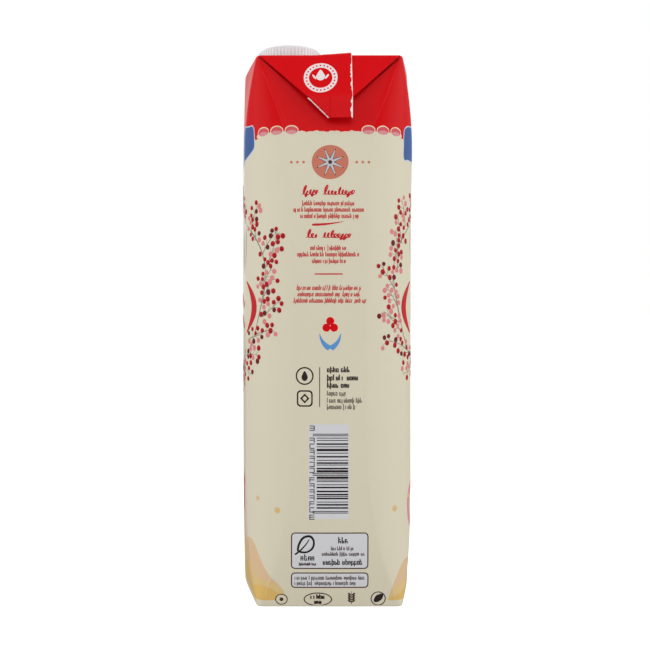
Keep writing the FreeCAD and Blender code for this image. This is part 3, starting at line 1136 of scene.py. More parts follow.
@dataclass
class PrintLayout:
    """Fields of colour printed on the page, laid out in millimetres."""

    page: float
    height: float
    border: float = 188.9
    hollow: float = 1.9
    seed: int = 5

    def fields(self) -> Fields:
        """All fields, in the order in which they are printed."""
        made = [(Ink.RED, self._red_field())]
        made += self._border_berries()
        for centre in (-self.page / 4, self.page / 4):
            made += self._banner(centre)
            made += self._glass(centre)
            made += self._waves(centre)
        made += self._star_mark()
        made += self._near_panel()
        made += self._far_panel()
        made += self._hairlines_and_painted_shadows()
        return made

    def _border(self, u: float) -> float:
        """Height of the red field's lower edge."""
        ripple = 0.2 * math.sin(u * 0.9) + 0.14 * math.sin(u * 2.3 + 1) + 0.1 * math.sin(u * 5.1 + 2)
        panel = abs(u) if abs(u) < self.page / 4 else self.page / 2 - abs(u)
        return self.border + ripple - self.hollow * float(smoothstep((panel - 20.5) / 5))

    def _red_field(self) -> Points:
        """Outline of the red top field."""
        half = self.page / 2
        edge = [(u, self._border(u)) for u in np.linspace(-half, half, 481)]
        edge[-1] = (half, edge[0][1])
        return edge + [(half, self.height), (-half, self.height)]

    def _border_berries(self) -> Fields:
        """Pink berries that break the red field's edge, each under a pale line."""
        berries = [(side * u, 189.3, 2.4, 1.6) for side in (-1, 1) for u in (15.0, 21.0, 27.0)]
        chance = random.Random(self.seed)
        for centre in (-self.page / 4, self.page / 4):
            for step in range(9):
                u = centre - 28 + step * 7 + chance.uniform(-1.2, 1.2)
                berries.append((u, 186.9 + chance.uniform(-0.4, 0.6), chance.uniform(1.6, 2.9),
                                chance.uniform(1.2, 1.7)))
        berries += [(side * (self.page / 2 - k), 189.2, 2.2, 1.5) for side in (1, -1) for k in (13.0, 18.6, 26.0)]
        lines, sweeps, fills = [], [], []
        for index, (u, z, wide, tall) in enumerate(berries):
            outline = ellipse(u, z + 0.1, wide + 0.3, tall + 0.34, 0, 30, 0.04, index)
            lines.append((Ink.PALE_LINE, outline))
            low = ellipse(u, z - 1.3, wide + 0.9, tall + 0.1, 0, 30, 0.05, index)
            sweeps.append((Ink.CREAM, low))
            fills.append((Ink.PINK, ellipse(u, z, wide, tall, 0, 30, 0.07, index + 50)))
            fills.append((Ink.BLUSH, ellipse(u, z - tall * 0.45, wide * 0.86, tall * 0.5, 0, 24, 0.1, index)))
        return lines + sweeps + fills

    def _banner(self, centre: float) -> Fields:
        """Plain blue banner across a wide panel, one lower corner cut away."""
        def outline(grow: float) -> Points:
            knots = []
            for share in np.linspace(0, 1, 25):
                knots.append((centre - 31.0 + grow * (2 * share - 1) + 62.0 * share,
                              192.2 + grow + 2.4 * math.sin(math.pi * share)))
            right = centre + 31.0 + grow
            left = centre - 31.0 - grow
            knots[0] = (left + 1.4, 192.0 + grow)
            knots[-1] = (right - 1.4, 192.6 + grow)
            knots += [(right - 0.2, 191.6), (right, 189.0), (right, 185.6), (right - 0.6, 183.4 - grow * 0.4),
                      (right - 4.5, 181.0 - grow), (right - 9.5, 179.2 - grow)]
            knots += [(centre + 12, 178.4 - grow), (centre - 12, 178.2 - grow), (left + 4, 179.4 - grow),
                      (left + 1.4, 178.9 - grow), (left + 0.2, 180.2), (left, 184.0), (left, 190.4)]
            return smooth_outline(knots, 3)
        return [(Ink.BLUE_EDGE, outline(0.42)), (Ink.BLUE, outline(0.0))]

    def _glass(self, centre: float) -> Fields:
        """A plain tumbler of the drink inside the wreath, and a rose-coloured mug at the foot."""
        def tumbler(inset: float, low: float, high: float) -> Points:
            half_low, half_high = 5.6 - inset, 7.6 - inset
            return [(centre - half_low, low), (centre + half_low, low),
                    (centre + half_high, high), (centre - half_high, high)]
        made = [(Ink.TWIG, tumbler(0, 133.5, 156.5)), (Ink.CREAM, tumbler(0.5, 134.2, 157)),
                (Ink.DRINK_PALE, tumbler(1.0, 134.8, 151)),
                (Ink.DRINK_MID, taper((centre - 3.4, 136), (centre - 5.2, 149), 1.3, 0.7, 0.2))]
        for k in range(5):
            made.append((Ink.RING_WHITE, ellipse(centre - 5.0 + 2.5 * k, 151.4 + 0.4 * (k % 2), 1.8, 1.4)))
        middle = centre - 2.6
        made.append((Ink.BLUSH, ellipse(middle - 19.0, 37.5, 6.0, 10.5, 0, 32)))
        made.append((Ink.CREAM, ellipse(middle - 19.0, 38.0, 3.9, 7.4, 0, 28)))
        mug = [(-20.0, 49.0), (0.0, 48.0), (20.0, 49.0), (19.4, 41.0), (17.0, 32.0), (12.0, 25.0), (0.0, 23.0),
                (-12.0, 25.0), (-17.0, 32.0), (-19.4, 41.0)]
        made.append((Ink.PINK, smooth_outline([(middle + du, z) for du, z in mug], 5)))
        made.append((Ink.BLUSH, ellipse(middle, 48.8, 20.2, 2.3, 0, 48)))
        made.append((Ink.DRINK_PALE, ellipse(middle, 49.0, 18.4, 1.5, 0, 44)))
        made.append((Ink.BLUSH, taper((middle - 15.5, 42.0), (middle - 11.0, 30.0), 1.8, 0.6, -0.6)))
        made.append((Ink.BLUSH, taper((middle + 18.4, 47.5), (middle + 14.6, 28.0), 3.4, 2.4, 0.8)))
        return made

    def _waves(self, centre: float) -> Fields:
        """Three rolling bands of the drink along the foot of a wide panel, under a row of round drops."""
        left, right, foot = centre - 40.0, centre + 46.0, 2.8
        made = []
        for ink, high, swing, lag in ((Ink.DRINK_PALE, 30.0, 4.5, 0.0), (Ink.DRINK_MID, 21.0, 3.6, 1.9),
                                      (Ink.DRINK, 12.0, 2.6, 3.6)):
            crest = []
            for share in np.linspace(0, 1, 73):
                rise = (high - foot + swing * math.sin(8 * math.pi * share + lag)) * math.sin(math.pi * share) ** 0.6
                crest.append((left + (right - left) * float(share), foot + rise))
            made.append((ink, crest[::-1]))
        for k in range(9):
            u, z, radius = left + 4.0 + 9.75 * k, 39.0 + 3.5 * (k % 2), 1.3 - 0.35 * (k % 2)
            made.append((Ink.DRINK_PALE, ellipse(u, z, radius, radius, 0, 20)))
            made.append((Ink.DRINK, ellipse(u, z - radius * 0.2, radius * 0.6, radius * 0.5, 0, 14)))
        return made

    def _star_mark(self) -> Fields:
        """Eight-armed spice star on a round warm spot, between dots, on both narrow panels."""
        made = []
        for shift in (0.0, self.page / 2, -self.page / 2):
            u, z = shift, 176.6
            made.append((Ink.SALMON, ellipse(u, z, 7.2, 6.8, 0, 40, 0.03, 3)))
            for ink, reach, wide in ((Ink.BLACK, 5.6, 1.9), (Ink.STICK, 5.1, 1.3)):
                for k in range(8):
                    angle = math.radians(45 * k + 22.5)
                    tip = (u + reach * math.cos(angle), z + reach * math.sin(angle))
                    made.append((ink, taper((u, z), tip, wide, 0.3)))
            made.append((Ink.INK_BROWN, ellipse(u, z, 0.8, 0.8, 0, 16)))
            for side in (-1, 1):
                for k in range(3):
                    made.append((Ink.SALMON, ellipse(u + side * (10.4 + 2.4 * k), z, 0.55, 0.55, 0, 14)))
        return made

    def _near_panel(self) -> Fields:
        """Boxes, round marks and panels of the near narrow panel's print."""
        made = []
        for left, low, right, high in ((-15.3, 15.8, 15.1, 30.5), (-15.3, 8.0, 15.2, 14.3)):
            made.append((Ink.INK_BROWN, rounded_box(left - 0.05, low - 0.05, right + 0.05, high + 0.05, 1.6)))
            made.append((Ink.WHITE, rounded_box(left + 0.42, low + 0.42, right - 0.42, high - 0.42, 1.15)))
        made.append((Ink.WHITE, [(-8.6, 36.0), (7.3, 36.0), (7.3, 73.4), (-8.6, 73.4)]))
        made += [(Ink.BLACK, ellipse(-10.1, 92.4, 3.55, 3.55, 0, 40)),
                 (Ink.CREAM, ellipse(-10.1, 92.4, 2.98, 2.98, 0, 40)),
                 (Ink.BLACK, smooth_outline([(-10.1, 94.4), (-8.9, 92.2), (-9.2, 90.9), (-10.1, 90.4),
                                             (-11.0, 90.9), (-11.3, 92.2)])),
                 (Ink.BLACK, rounded_box(-13.2, 80.3, -6.9, 86.8, 1.5)),
                 (Ink.CREAM, rounded_box(-12.6, 80.9, -7.5, 86.2, 1.1)),
                 (Ink.BLACK, [(-10.05, 85.5), (-11.9, 83.55), (-10.05, 81.6), (-8.2, 83.55)]),
                 (Ink.CREAM, [(-10.05, 84.6), (-11.0, 83.55), (-10.05, 82.5), (-9.1, 83.55)]),
                 (Ink.INK_BROWN, [(-4.35, 80.2), (-4.0, 80.2), (-4.0, 95.9), (-4.35, 95.9)])]
        for side in (-1, 1):
            made.append((Ink.SKY, taper((0.0, 103.2), (side * 4.2, 109.0), 2.6, 0.3, -side * 0.9)))
            made.append((Ink.RED, ellipse(side * 1.5, 111.4, 1.6, 1.6, 0, 22)))
        made.append((Ink.RED, ellipse(0.0, 114.0, 1.6, 1.6, 0, 22)))
        # leaf in the larger box
        made += [(Ink.BLACK, smooth_outline([(-13.0, 23.2), (-12.4, 26.4), (-10.6, 28.9), (-7.6, 29.4),
                                             (-6.0, 27.2), (-6.4, 24.2), (-8.6, 22.4), (-11.2, 22.2)])),
                 (Ink.WHITE, smooth_outline([(-12.2, 23.5), (-11.6, 26.0), (-10.1, 28.1), (-8.0, 28.5),
                                             (-6.8, 27.0), (-7.1, 24.7), (-8.9, 23.1), (-11.0, 23.0)])),
                 (Ink.BLACK, taper((-13.8, 21.6), (-8.2, 27.7), 0.75, 0.4, -0.5))]
        # ring, oval, seed head and leaf at the foot
        made += [(Ink.INK_BROWN, ellipse(-19.1, 3.2, 2.5, 2.3, 0, 28)),
                 (Ink.CREAM, ellipse(-19.1, 3.2, 2.1, 1.9, 0, 28)),
                 (Ink.INK_BROWN, ellipse(-19.1, 3.2, 0.8, 0.8, 0, 16)),
                 (Ink.BLACK, ellipse(-4.7, 3.2, 5.65, 2.85, 0, 40)),
                 (Ink.CREAM, ellipse(-4.7, 3.2, 5.2, 2.4, 0, 40)),
                 (Ink.BLACK, ellipse(19.2, 3.5, 3.0, 2.95, 0, 36)),
                 (Ink.CREAM, ellipse(19.2, 3.5, 2.6, 2.55, 0, 36)),
                 (Ink.BLACK, smooth_outline([(17.4, 2.4), (18.2, 4.6), (20.4, 5.6), (21.2, 5.2),
                                             (20.6, 3.2), (18.8, 2.0)]))]
        for k in range(4):
            for side in (-1, 1):
                made.append((Ink.INK_BROWN, ellipse(8.6 + side * 0.8, 2.5 + k * 0.95, 0.82, 0.4, side * 40, 12)))
        made.append((Ink.INK_BROWN, taper((8.6, 1.2), (8.6, 6.6), 0.3, 0.15)))
        return made

    def _far_panel(self) -> Fields:
        """Ruled table on the far narrow panel, laid in halves on both sides of the page's seam."""
        made = []
        for shift in (self.page / 2, -self.page / 2):
            made.append((Ink.INK_BROWN, rounded_box(shift - 15.3, 58.5, shift + 15.3, 106.0, 1.6)))
            made.append((Ink.CREAM, rounded_box(shift - 14.9, 58.9, shift + 14.9, 105.6, 1.2)))
            for row in range(8):
                z = 100.4 - 5.0 * row
                made.append((Ink.INK_BROWN, [(shift - 14.9, z), (shift + 14.9, z), (shift + 14.9, z + 0.2),
                                             (shift - 14.9, z + 0.2)]))
        return made

    def _hairlines_and_painted_shadows(self) -> Fields:
        """Scuffed hairlines, painted shadow lines along the ears' edges and pale pressed lines at the foot."""
        lines = [(Ink.SCUFF, (-26.8, 213.9), (-17.6, 189.4), 0.17, 0.17 * 0.6, 0.25),
                 (Ink.SCUFF, (-25.4, 212.0), (-16.8, 191.0), 0.08, 0.08 * 0.6, 0.25),
                 (Ink.SCUFF, (26.1, 214.1), (17.6, 193.0), 0.12, 0.12 * 0.6, 0.25),
                 (Ink.SCUFF, (24.4, 209.0), (18.4, 194.0), 0.08, 0.08 * 0.6, 0.25),
                 # painted shadow: dark red strokes just outside the ears' slanted edges and at the top right double
                 # fold, standing in for the shade under the ears
                 (Ink.CREASE, (-27.6, 219.0), (-11.0, 204.1), 0.8, 0.8 * 0.15, 0.0),
                 (Ink.CREASE, (27.3, 218.8), (9.2, 202.2), 0.7, 0.7 * 0.15, 0.0),
                 (Ink.CREASE, (27.2, 218.7), (19.5, 211.2), 1.6, 1.6 * 0.15, 0.0),
                 (Ink.PALE_LINE, (22.6, 18.4), (24.3, 14.3), 0.16, 0.1, 0.0),
                 (Ink.PALE_LINE, (24.3, 14.3), (25.9, 2.9), 0.16, 0.1, 0.0),
                 (Ink.PALE_LINE, (-22.9, 17.0), (-25.4, 4.0), 0.16, 0.1, 0.0)]
        return [(ink, taper((start[0] + shift, start[1]), (end[0] + shift, end[1]), wide, narrow, bend))
                for shift in (0.0, self.page / 2, -self.page / 2) for ink, start, end, wide, narrow, bend in lines]


@dataclass
class FlatMarks:
    """Places on the flat page where one small shape is printed."""

    places: Points = field(default_factory=list)
    sizes: Points = field(default_factory=list)
    turns: list[float] = field(default_factory=list)

    def add(self, u: float, z: float, wide: float, tall: float, turn: float = 0.0) -> None:
        """Adds one mark, turned by an angle in degrees."""
        self.places.append((u, z))
        self.sizes.append((wide, tall))
        self.turns.append(math.radians(turn))

    def type_line(self, left: float, right: float, z: float, tall: float, seed: int,
                  slant: float = 0.0, stroke: float = 0.28, spread: float = 0.58) -> None:
        """Adds a line of small type, as groups of strokes that read as no letters.

        Args:
            left: Left end of the line.
            right: Right end.
            z: Foot of the line.
            tall: Height of a low letter.
            seed: Seed of the line's rhythm.
            slant: Lean of the strokes in degrees.
            stroke: Width of a stroke.
            spread: Width of a letter as a share of its height.
        """
        chance = random.Random(seed)
        u, left_in_word = left, chance.randint(4, 8)
        pitch = tall * spread
        while u < right - pitch * 0.5:
            if left_in_word == 0:
                u += pitch * 0.7
                left_in_word = chance.randint(3, 9)
                continue
            high = tall * chance.choice((1.0, 1.0, 1.0, 1.0, 1.5, 1.45))
            drop = tall * chance.choice((0, 0, 0, 0, 0.35))
            lean = math.tan(math.radians(slant))
            self.add(u + stroke / 2 + lean * (high - drop) / 2, z + (high - drop) / 2, stroke, high + drop, -slant)
            if chance.random() < 0.9:
                second = tall * chance.choice((1.0, 0.95, 0.6))
                self.add(u + stroke / 2 + pitch * 0.55 + lean * second / 2, z + second / 2, stroke * 0.9, second,
                         -slant)
                for level in chance.sample((0.08, 0.5, 0.92), 2):
                    self.add(u + stroke / 2 + pitch * 0.3 + lean * tall * level, z + tall * level, pitch * 0.5,
                             stroke * 0.75)
            u += pitch * chance.uniform(0.95, 1.1)
            left_in_word -= 1

    def points_object(self, name: str) -> bpy.types.Object:
        """Makes the marks' places as loose points with their sizes and turns."""
        mesh = bpy.data.meshes.new(name)
        mesh.from_pydata([(u * MM, z * MM, 0) for u, z in self.places], [], [])
        size = mesh.attributes.new("size", "FLOAT_VECTOR", "POINT")
        size.data.foreach_set("vector", [part for wide, tall in self.sizes for part in (wide * MM, tall * MM, 1.0)])
        turn = mesh.attributes.new("turn", "FLOAT", "POINT")
        turn.data.foreach_set("value", self.turns)
        return linked(name, mesh)


@dataclass
class FlatStrokes:
    """Pen and brush strokes on the flat page."""

    lines: list[tuple[Points, list[float]]] = field(default_factory=list)

    def add(self, points: Points, widths: list[float]) -> None:
        """Adds one stroke through points, with its width at each."""
        self.lines.append((points, widths))

    def script(self, left: float, right: float, z: float, tall: float, first: float, loops: int,
               width: float, seed: int, rise: float = 0.0) -> None:
        """Adds a handwritten scribble of loops, the first one tall.

        Args:
            left: Left end.
            right: Right end.
            z: Foot of the low loops.
            tall: Height of a low loop.
            first: Height of the first loop.
            loops: Number of loops.
            width: Width of the pen's downstroke.
            seed: Seed of its unevenness.
            rise: How much higher the right end stands.
        """
        chance = random.Random(seed)
        heights = [first] + [tall * chance.choice((0.8, 1.0, 1.1, 1.25, 1.9)) for _ in range(loops - 1)]
        drops = [0.0] + [chance.choice((0, 0, 0, 0.9)) * tall for _ in range(loops - 1)]
        swings = [chance.uniform(0.3, 0.62) for _ in range(loops)]
        points, widths = [], []
        run = right - left
        steps = 16
        for loop, (high, drop, swing) in enumerate(zip(heights, drops, swings)):
            for step in range(steps):
                angle = 2 * math.pi * step / steps
                share = (loop + step / steps) / loops
                up = (1 - math.cos(angle)) / 2
                level = up * high - drop * max(0.0, math.sin(angle - math.pi)) ** 2
                across = left + run * share + math.sin(angle) * run / loops * swing + 0.34 * level
                points.append((across, z + level + rise * share))
                down = max(0.0, -math.sin(angle))
                widths.append(width * (0.42 + 0.68 * down))
        widths[0] = widths[-1] = width * 0.2
        self.add(points, widths)

    def lines_object(self, name: str) -> bpy.types.Object:
        """Makes the strokes as flat polylines with their half widths."""
        mesh = bpy.data.meshes.new(name)
        points, edges, halves = [], [], []
        for line, widths in self.lines:
            start = len(points)
            points += [(u * MM, z * MM, 0) for u, z in line]
            edges += [(start + i, start + i + 1) for i in range(len(line) - 1)]
            halves += [width * MM / 2 for width in widths]
        mesh.from_pydata(points, edges, [])
        half = mesh.attributes.new("half", "FLOAT", "POINT")
        half.data.foreach_set("value", halves)
        return linked(name, mesh)


class Shape(Enum):
    """Small shapes that the press can stamp."""

    BLOCK = "block"
    DISC = "disc"


@dataclass
class Press:
    """Lays flat marks and strokes round the sleeve as thin films of ink."""

    sleeve: bpy.types.Object
    page: float
    height: float
    film: float = 0.035
    sink: float = 0.012
    trees: dict[str, bpy.types.NodeTree] = field(default_factory=dict)

    def _finish_tree(self, graph: Graph, flat: bpy.types.NodeSocket, sockets: dict,
                     outside: bpy.types.Node) -> None:
        """Ends a tree: thickens the flat shapes, wraps them round the sleeve and gives them the ink.

        Args:
            graph: The tree's graph.
            flat: Flat shapes on the page.
            sockets: The tree's inputs.
            outside: The tree's output node.
        """
        down = graph.node("ShaderNodeSeparateXYZ", None, {
            0: graph.node("GeometryNodeInputNormal").outputs["Normal"]}).outputs[2]
        facing = graph.node("GeometryNodeFlipFaces", None, {
            "Mesh": flat, "Selection": graph.node("FunctionNodeCompare", {"operation": "LESS_THAN"}, {
                0: down, 1: 0.0})})
        raised = graph.node("GeometryNodeExtrudeMesh", {"mode": "FACES"}, {
            "Mesh": facing, "Offset Scale": sockets["Film"], "Individual": False})
        under = graph.node("GeometryNodeFlipFaces", None, {"Mesh": facing})
        joined = graph.node("GeometryNodeJoinGeometry")
        for part in (raised, under):
            graph.feed(joined.inputs[0], part)
        closed = graph.node("GeometryNodeMergeByDistance", None, {
            "Geometry": joined, "Distance": 1e-7})
        place = graph.node("ShaderNodeSeparateXYZ", None, {
            0: graph.node("GeometryNodeInputPosition")})
        u, z, level = (graph.number(place.outputs[axis]) for axis in range(3))
        page, height = self.page * MM, self.height * MM
        spot = graph.node("ShaderNodeCombineXYZ", None, {
            0: u.wrapped(-page / 2, page / 2) / page + 0.5, 1: z / height})
        body = graph.node("GeometryNodeObjectInfo", {"transform_space": "RELATIVE"}, {
            "Object": sockets["Sleeve"]}).outputs["Geometry"]
        chart = graph.attribute("page", "FLOAT_VECTOR")
        found = []
        for value in (graph.node("GeometryNodeInputPosition"),
                      graph.node("GeometryNodeInputNormal").outputs["Normal"]):
            sample = graph.node("GeometryNodeSampleUVSurface", {"data_type": "FLOAT_VECTOR"}, {
                "Mesh": body, "Value": value, "UV Map": chart, "Sample UV": spot})
            found.append(sample.outputs["Value"])
        rise = level - sockets["Sink"]
        lifted = graph.node("ShaderNodeVectorMath", {"operation": "SCALE"}, {0: found[1], "Scale": rise})
        target = graph.node("ShaderNodeVectorMath", {"operation": "ADD"}, {0: found[0], 1: lifted})
        laid = graph.node("GeometryNodeSetPosition", None, {
            "Geometry": closed, "Position": target})
        dressed = graph.node("GeometryNodeSetMaterial", None, {
            "Geometry": laid, "Material": sockets["Material"]})
        graph.feed(outside.inputs[0], dressed)

    def _stamp_tree(self, shape: Shape) -> bpy.types.NodeTree:
        """Node tree that stamps one shape at each point."""
        tree, graph, outside, sockets = new_tree("stamp_" + shape.value, {
            "Sleeve": "NodeSocketObject", "Material": "NodeSocketMaterial", "Film": "NodeSocketFloat",
            "Sink": "NodeSocketFloat", "Cuts": "NodeSocketInt"})
        if shape is Shape.DISC:
            mark = graph.node("GeometryNodeMeshCircle", {"fill_type": "NGON"}, {"Vertices": 14, "Radius": 0.5})
        else:
            mark = graph.node("GeometryNodeMeshGrid", None, {
                "Size X": 1.0, "Size Y": 1.0, "Vertices X": 2, "Vertices Y": 2})
        angle = graph.node("FunctionNodeAxisAngleToRotation", None, {
            "Axis": (0, 0, 1), "Angle": graph.attribute("turn", "FLOAT")})
        stamped = graph.node("GeometryNodeInstanceOnPoints", None, {
            "Points": sockets["Geometry"], "Instance": mark, "Rotation": angle,
            "Scale": graph.attribute("size", "FLOAT_VECTOR")})
        real = graph.node("GeometryNodeRealizeInstances", None, {"Geometry": stamped})
        fine = graph.node("GeometryNodeSubdivideMesh", None, {"Mesh": real, "Level": sockets["Cuts"]})
        self._finish_tree(graph, fine, sockets, outside)
        return tree

    def _stroke_tree(self) -> bpy.types.NodeTree:
        """Node tree that draws a flat ribbon along each polyline."""
        tree, graph, outside, sockets = new_tree("pen_strokes", {
            "Sleeve": "NodeSocketObject", "Material": "NodeSocketMaterial", "Film": "NodeSocketFloat",
            "Sink": "NodeSocketFloat"})
        curve = graph.node("GeometryNodeMeshToCurve", None, {0: sockets["Geometry"]})
        upright = graph.node("GeometryNodeSetCurveNormal", {"mode": "Z_UP"}, {"Curve": curve})
        line = graph.node("GeometryNodeCurvePrimitiveLine", None, {"Start": (-1, 0, 0), "End": (1, 0, 0)})
        pen = graph.node("GeometryNodeResampleCurve", None, {"Curve": line, "Count": 5})
        ribbon = graph.node("GeometryNodeCurveToMesh", None, {
            "Curve": upright, "Profile Curve": pen,
            "Scale": graph.attribute("half", "FLOAT")})
        real = graph.node("GeometryNodeRealizeInstances", None, {"Geometry": ribbon})
        self._finish_tree(graph, real, sockets, outside)
        return tree

    def _run(self, piece: bpy.types.Object, key: str, ink: Ink, layer: int, more: dict) -> bpy.types.Object:
        """Applies one of the press's trees to an object.

        Args:
            piece: The flat marks or strokes.
            key: The tree's key.
            ink: The ink.
            layer: 0 for ink on the sleeve, 1 for ink on that ink, and so on.
            more: Further inputs.

        Returns:
            The finished piece.
        """
        values = {"Sleeve": self.sleeve, "Material": ink.value.material(),
                  "Film": (self.film * (1 + layer) + self.sink) * MM, "Sink": self.sink * MM}
        apply_tree(piece, self.trees[key], {**values, **more})
        piece.data.polygons.foreach_set("use_smooth", [False] * len(piece.data.polygons))
        return piece

    def stamp(self, name: str, marks: FlatMarks, ink: Ink, shape: Shape = Shape.BLOCK, cuts: int = 0,
              layer: int = 0) -> bpy.types.Object:
        """Prints marks as one piece.

        Args:
            name: Name of the piece.
            marks: The marks.
            ink: Their ink.
            shape: Their shape.
            cuts: How often each mark is divided to follow the sleeve's bow.
            layer: How many inks lie beneath.

        Returns:
            The piece.
        """
        if shape.value not in self.trees:
            self.trees[shape.value] = self._stamp_tree(shape)
        return self._run(marks.points_object(name), shape.value, ink, layer, {"Cuts": cuts})

    def draw(self, name: str, strokes: FlatStrokes, ink: Ink, layer: int = 0) -> bpy.types.Object:
        """Prints strokes as one piece."""
        if "pen" not in self.trees:
            self.trees["pen"] = self._stroke_tree()
        return self._run(strokes.lines_object(name), "pen", ink, layer, {})


@dataclass
class Wreath:
    """Ring of berry sprays round the middle of a wide panel."""

    centre: Point
    seed: int
    stem_radius: float = 35.5
    sprays: int = 34
    berry: float = 1.95
    reach: float = 46.0
    placed: Points = field(default_factory=list)

    def draw(self, twigs: FlatStrokes, berries: dict[Ink, FlatMarks], shine: FlatMarks) -> None:
        """Adds the wreath's twigs and berries.

        Args:
            twigs: Strokes for the twigs.
            berries: Marks for the berries of each ink.
            shine: Marks for the dark spot on each berry.
        """
        chance = random.Random(self.seed)
        inks = list(berries)
        for index in range(self.sprays):
            start = 2 * math.pi * (index + chance.uniform(-0.3, 0.3)) / self.sprays
            radius = self.stem_radius + chance.uniform(-2.5, 2.0)
            way = 1 if math.cos(start) > 0 else -1
            heading = start + way * math.radians(chance.uniform(30, 78))
            length = chance.uniform(9, 15)
            turn = way * math.radians(chance.uniform(-30, 8)) / 8
            u = self.centre[0] + radius * math.cos(start)
            z = self.centre[1] + radius * math.sin(start)
            points, headings = [(u, z)], [heading]
            for _ in range(8):
                heading += turn
                u += math.cos(heading) * length / 8
                z += math.sin(heading) * length / 8
                points.append((u, z))
                headings.append(heading)
            twigs.add(points, [0.46 - 0.04 * k for k in range(9)])
            for k in range(9):
                for side in (-1, 1, 1, -1):
                    away = chance.uniform(0.8, 3.3) * side
                    bu = points[k][0] - math.sin(headings[k]) * away + chance.uniform(-0.6, 0.6)
                    bz = points[k][1] + math.cos(headings[k]) * away + chance.uniform(-0.6, 0.6)
                    crowded = any(math.hypot(bu - pu, bz - pz) < self.berry * 0.98 for pu, pz in self.placed)
                    if crowded or abs(bu - self.centre[0]) > self.reach or chance.random() < 0.3:
                        continue
                    self.placed.append((bu, bz))
                    self._berry(bu, bz, chance, inks, berries, shine)
                    if abs(away) > 1.2 and k:
                        twigs.add([points[k - 1], ((points[k][0] + bu) / 2, (points[k][1] + bz) / 2), (bu, bz)],
                                  [0.2, 0.16, 0.12])
        arc = [2 * math.pi * k / 72 for k in range(73)]
        for begin in range(0, 72, 8):
            part = arc[begin:begin + 9]
            line = [(self.centre[0] + (self.stem_radius + 1.2 * math.sin(5 * a)) * math.cos(a),
                     self.centre[1] + (self.stem_radius + 1.2 * math.sin(5 * a)) * math.sin(a)) for a in part]
            twigs.add(line, [0.24 + 0.06 * k for k in range(len(line))])

    def _berry(self, u: float, z: float, chance: random.Random, inks: list[Ink],
               berries: dict[Ink, FlatMarks], shine: FlatMarks) -> None:
        """Adds one berry and, on a dark one, its shaded spot."""
        ink = chance.choices(inks, (5, 4, 1.1))[0]
        size = self.berry * chance.uniform(0.85, 1.12)
        berries[ink].add(u, z, size, size * chance.uniform(1.0, 1.16), chance.uniform(-20, 20))
        if ink is not Ink.ROSE:
            shine.add(u + size * 0.12, z - size * 0.16, size * 0.4, size * 0.36, 0)


def film_object(name: str, points: np.ndarray, faces: Faces, normals: np.ndarray,
                thickness: float, finish: Finish) -> bpy.types.Object:
    """Makes a thin closed film from an open patch.

    Args:
        name: Name of the piece.
        points: The film's outer points.
        faces: Its faces, seen from outside.
        normals: Outward direction at each point.
        thickness: Depth of the film, inwards.
        finish: Its finish.

    Returns:
        The film.
    """
    count = len(points)
    both = np.vstack([points, points - normals * thickness])
    shell = list(faces) + [tuple(i + count for i in face[::-1]) for face in faces]
    sides: dict[tuple[int, int], int] = {}
    for face in faces:
        for a, b in zip(face, face[1:] + face[:1]):
            sides[(a, b)] = 1
    for a, b in list(sides):
        if (b, a) not in sides:
            shell.append((b, a, a + count, b + count))
    made = mesh_object(name, both, shell, [finish])
    made.data.polygons.foreach_set("use_smooth", [False] * len(made.data.polygons))
    return made


@dataclass
class EarMark:
    """Round mark on the near ear: a pale ring with dots, round a drop between two leaves."""

    folds: TopFolds
    x: float = -3.75
    drop: float = 10.7
    outer: float = 6.65
    inner: float = 4.6
    film: float = 0.03

    def _place(self, flat: Points, level: float) -> tuple[np.ndarray, np.ndarray]:
        """Points and outward directions on the ear for places on its face.

        Args:
            flat: Places, measured from the mark's middle.
            level: Height over the ear's face.

        Returns:
            The points and their directions.
        """
        points, normals = [], []
        for across, up in flat:
            x, run = self.x + across, self.folds.crease_run + self.drop - up
            face = self.folds.lift(x) if x < 0 else self.folds.fin_top(x)
            y, z = self.folds.path.at(run, -(face + level))
            y_out, z_out = self.folds.path.at(run, -(face + level + 1.0))
            points.append((x, y, z))
            normals.append((0.0, y_out - y, z_out - z))
        return np.array(points), np.array(normals)

    def _disc(self, name: str, outline: Points, level: float, finish: Finish) -> bpy.types.Object:
        """Film of one filled outline, cut into rings so that it follows the ear."""
        middle = np.mean(outline, axis=0)
        flat, count = [], len(outline)
        for share in (1.0, 0.75, 0.5, 0.25):
            flat += [tuple(middle + (np.array(point) - middle) * share) for point in outline]
        flat.append(tuple(middle))
        faces = ring_faces(4, count) + [(3 * count + i, 3 * count + (i + 1) % count, 4 * count) for i in range(count)]
        points, normals = self._place(flat, level)
        return film_object(name, points, faces, normals, self.film + 0.02, finish)

    def build(self) -> list[bpy.types.Object]:
        """Makes the ring, its dots and the drop."""
        count = 72
        flat = [(radius * math.cos(2 * math.pi * i / count), radius * math.sin(2 * math.pi * i / count))
                for radius in np.linspace(self.outer, self.inner, 5) for i in range(count)]
        points, normals = self._place(flat, self.film)
        ring = film_object("ear_mark_ring", points, ring_faces(5, count), normals, self.film + 0.02,
                           Ink.RING_WHITE.value)
        drop = smooth_outline([(0.0, 3.7), (1.4, 1.6), (1.8, 0.3), (1.1, -0.8), (0.0, -1.2), (-1.1, -0.8),
                               (-1.8, 0.3), (-1.4, 1.6)])
        motif = [drop] + [ellipse(side * 2.5, 0.5, 0.42, 1.25, -side * 34, 14) for side in (-1, 1)]
        pale = [self._disc(f"ear_mark_motif_{k + 1:02d}", part, self.film, Ink.RING_WHITE.value)
                for k, part in enumerate(motif)]
        middle = (self.outer + self.inner) / 2
        marks = []
        for k in range(24):
            angle = math.radians(15 * k)
            marks.append(ellipse(middle * math.cos(angle), middle * math.sin(angle), 0.36, 0.36, 0, 12))
        dots = [self._disc(f"ear_mark_dot_{k + 1:02d}", part, self.film * 2, Ink.RED.value)
                for k, part in enumerate(marks)]
        return [ring, joined_piece("ear_mark_motif", pale), joined_piece("ear_mark_dots", dots)]


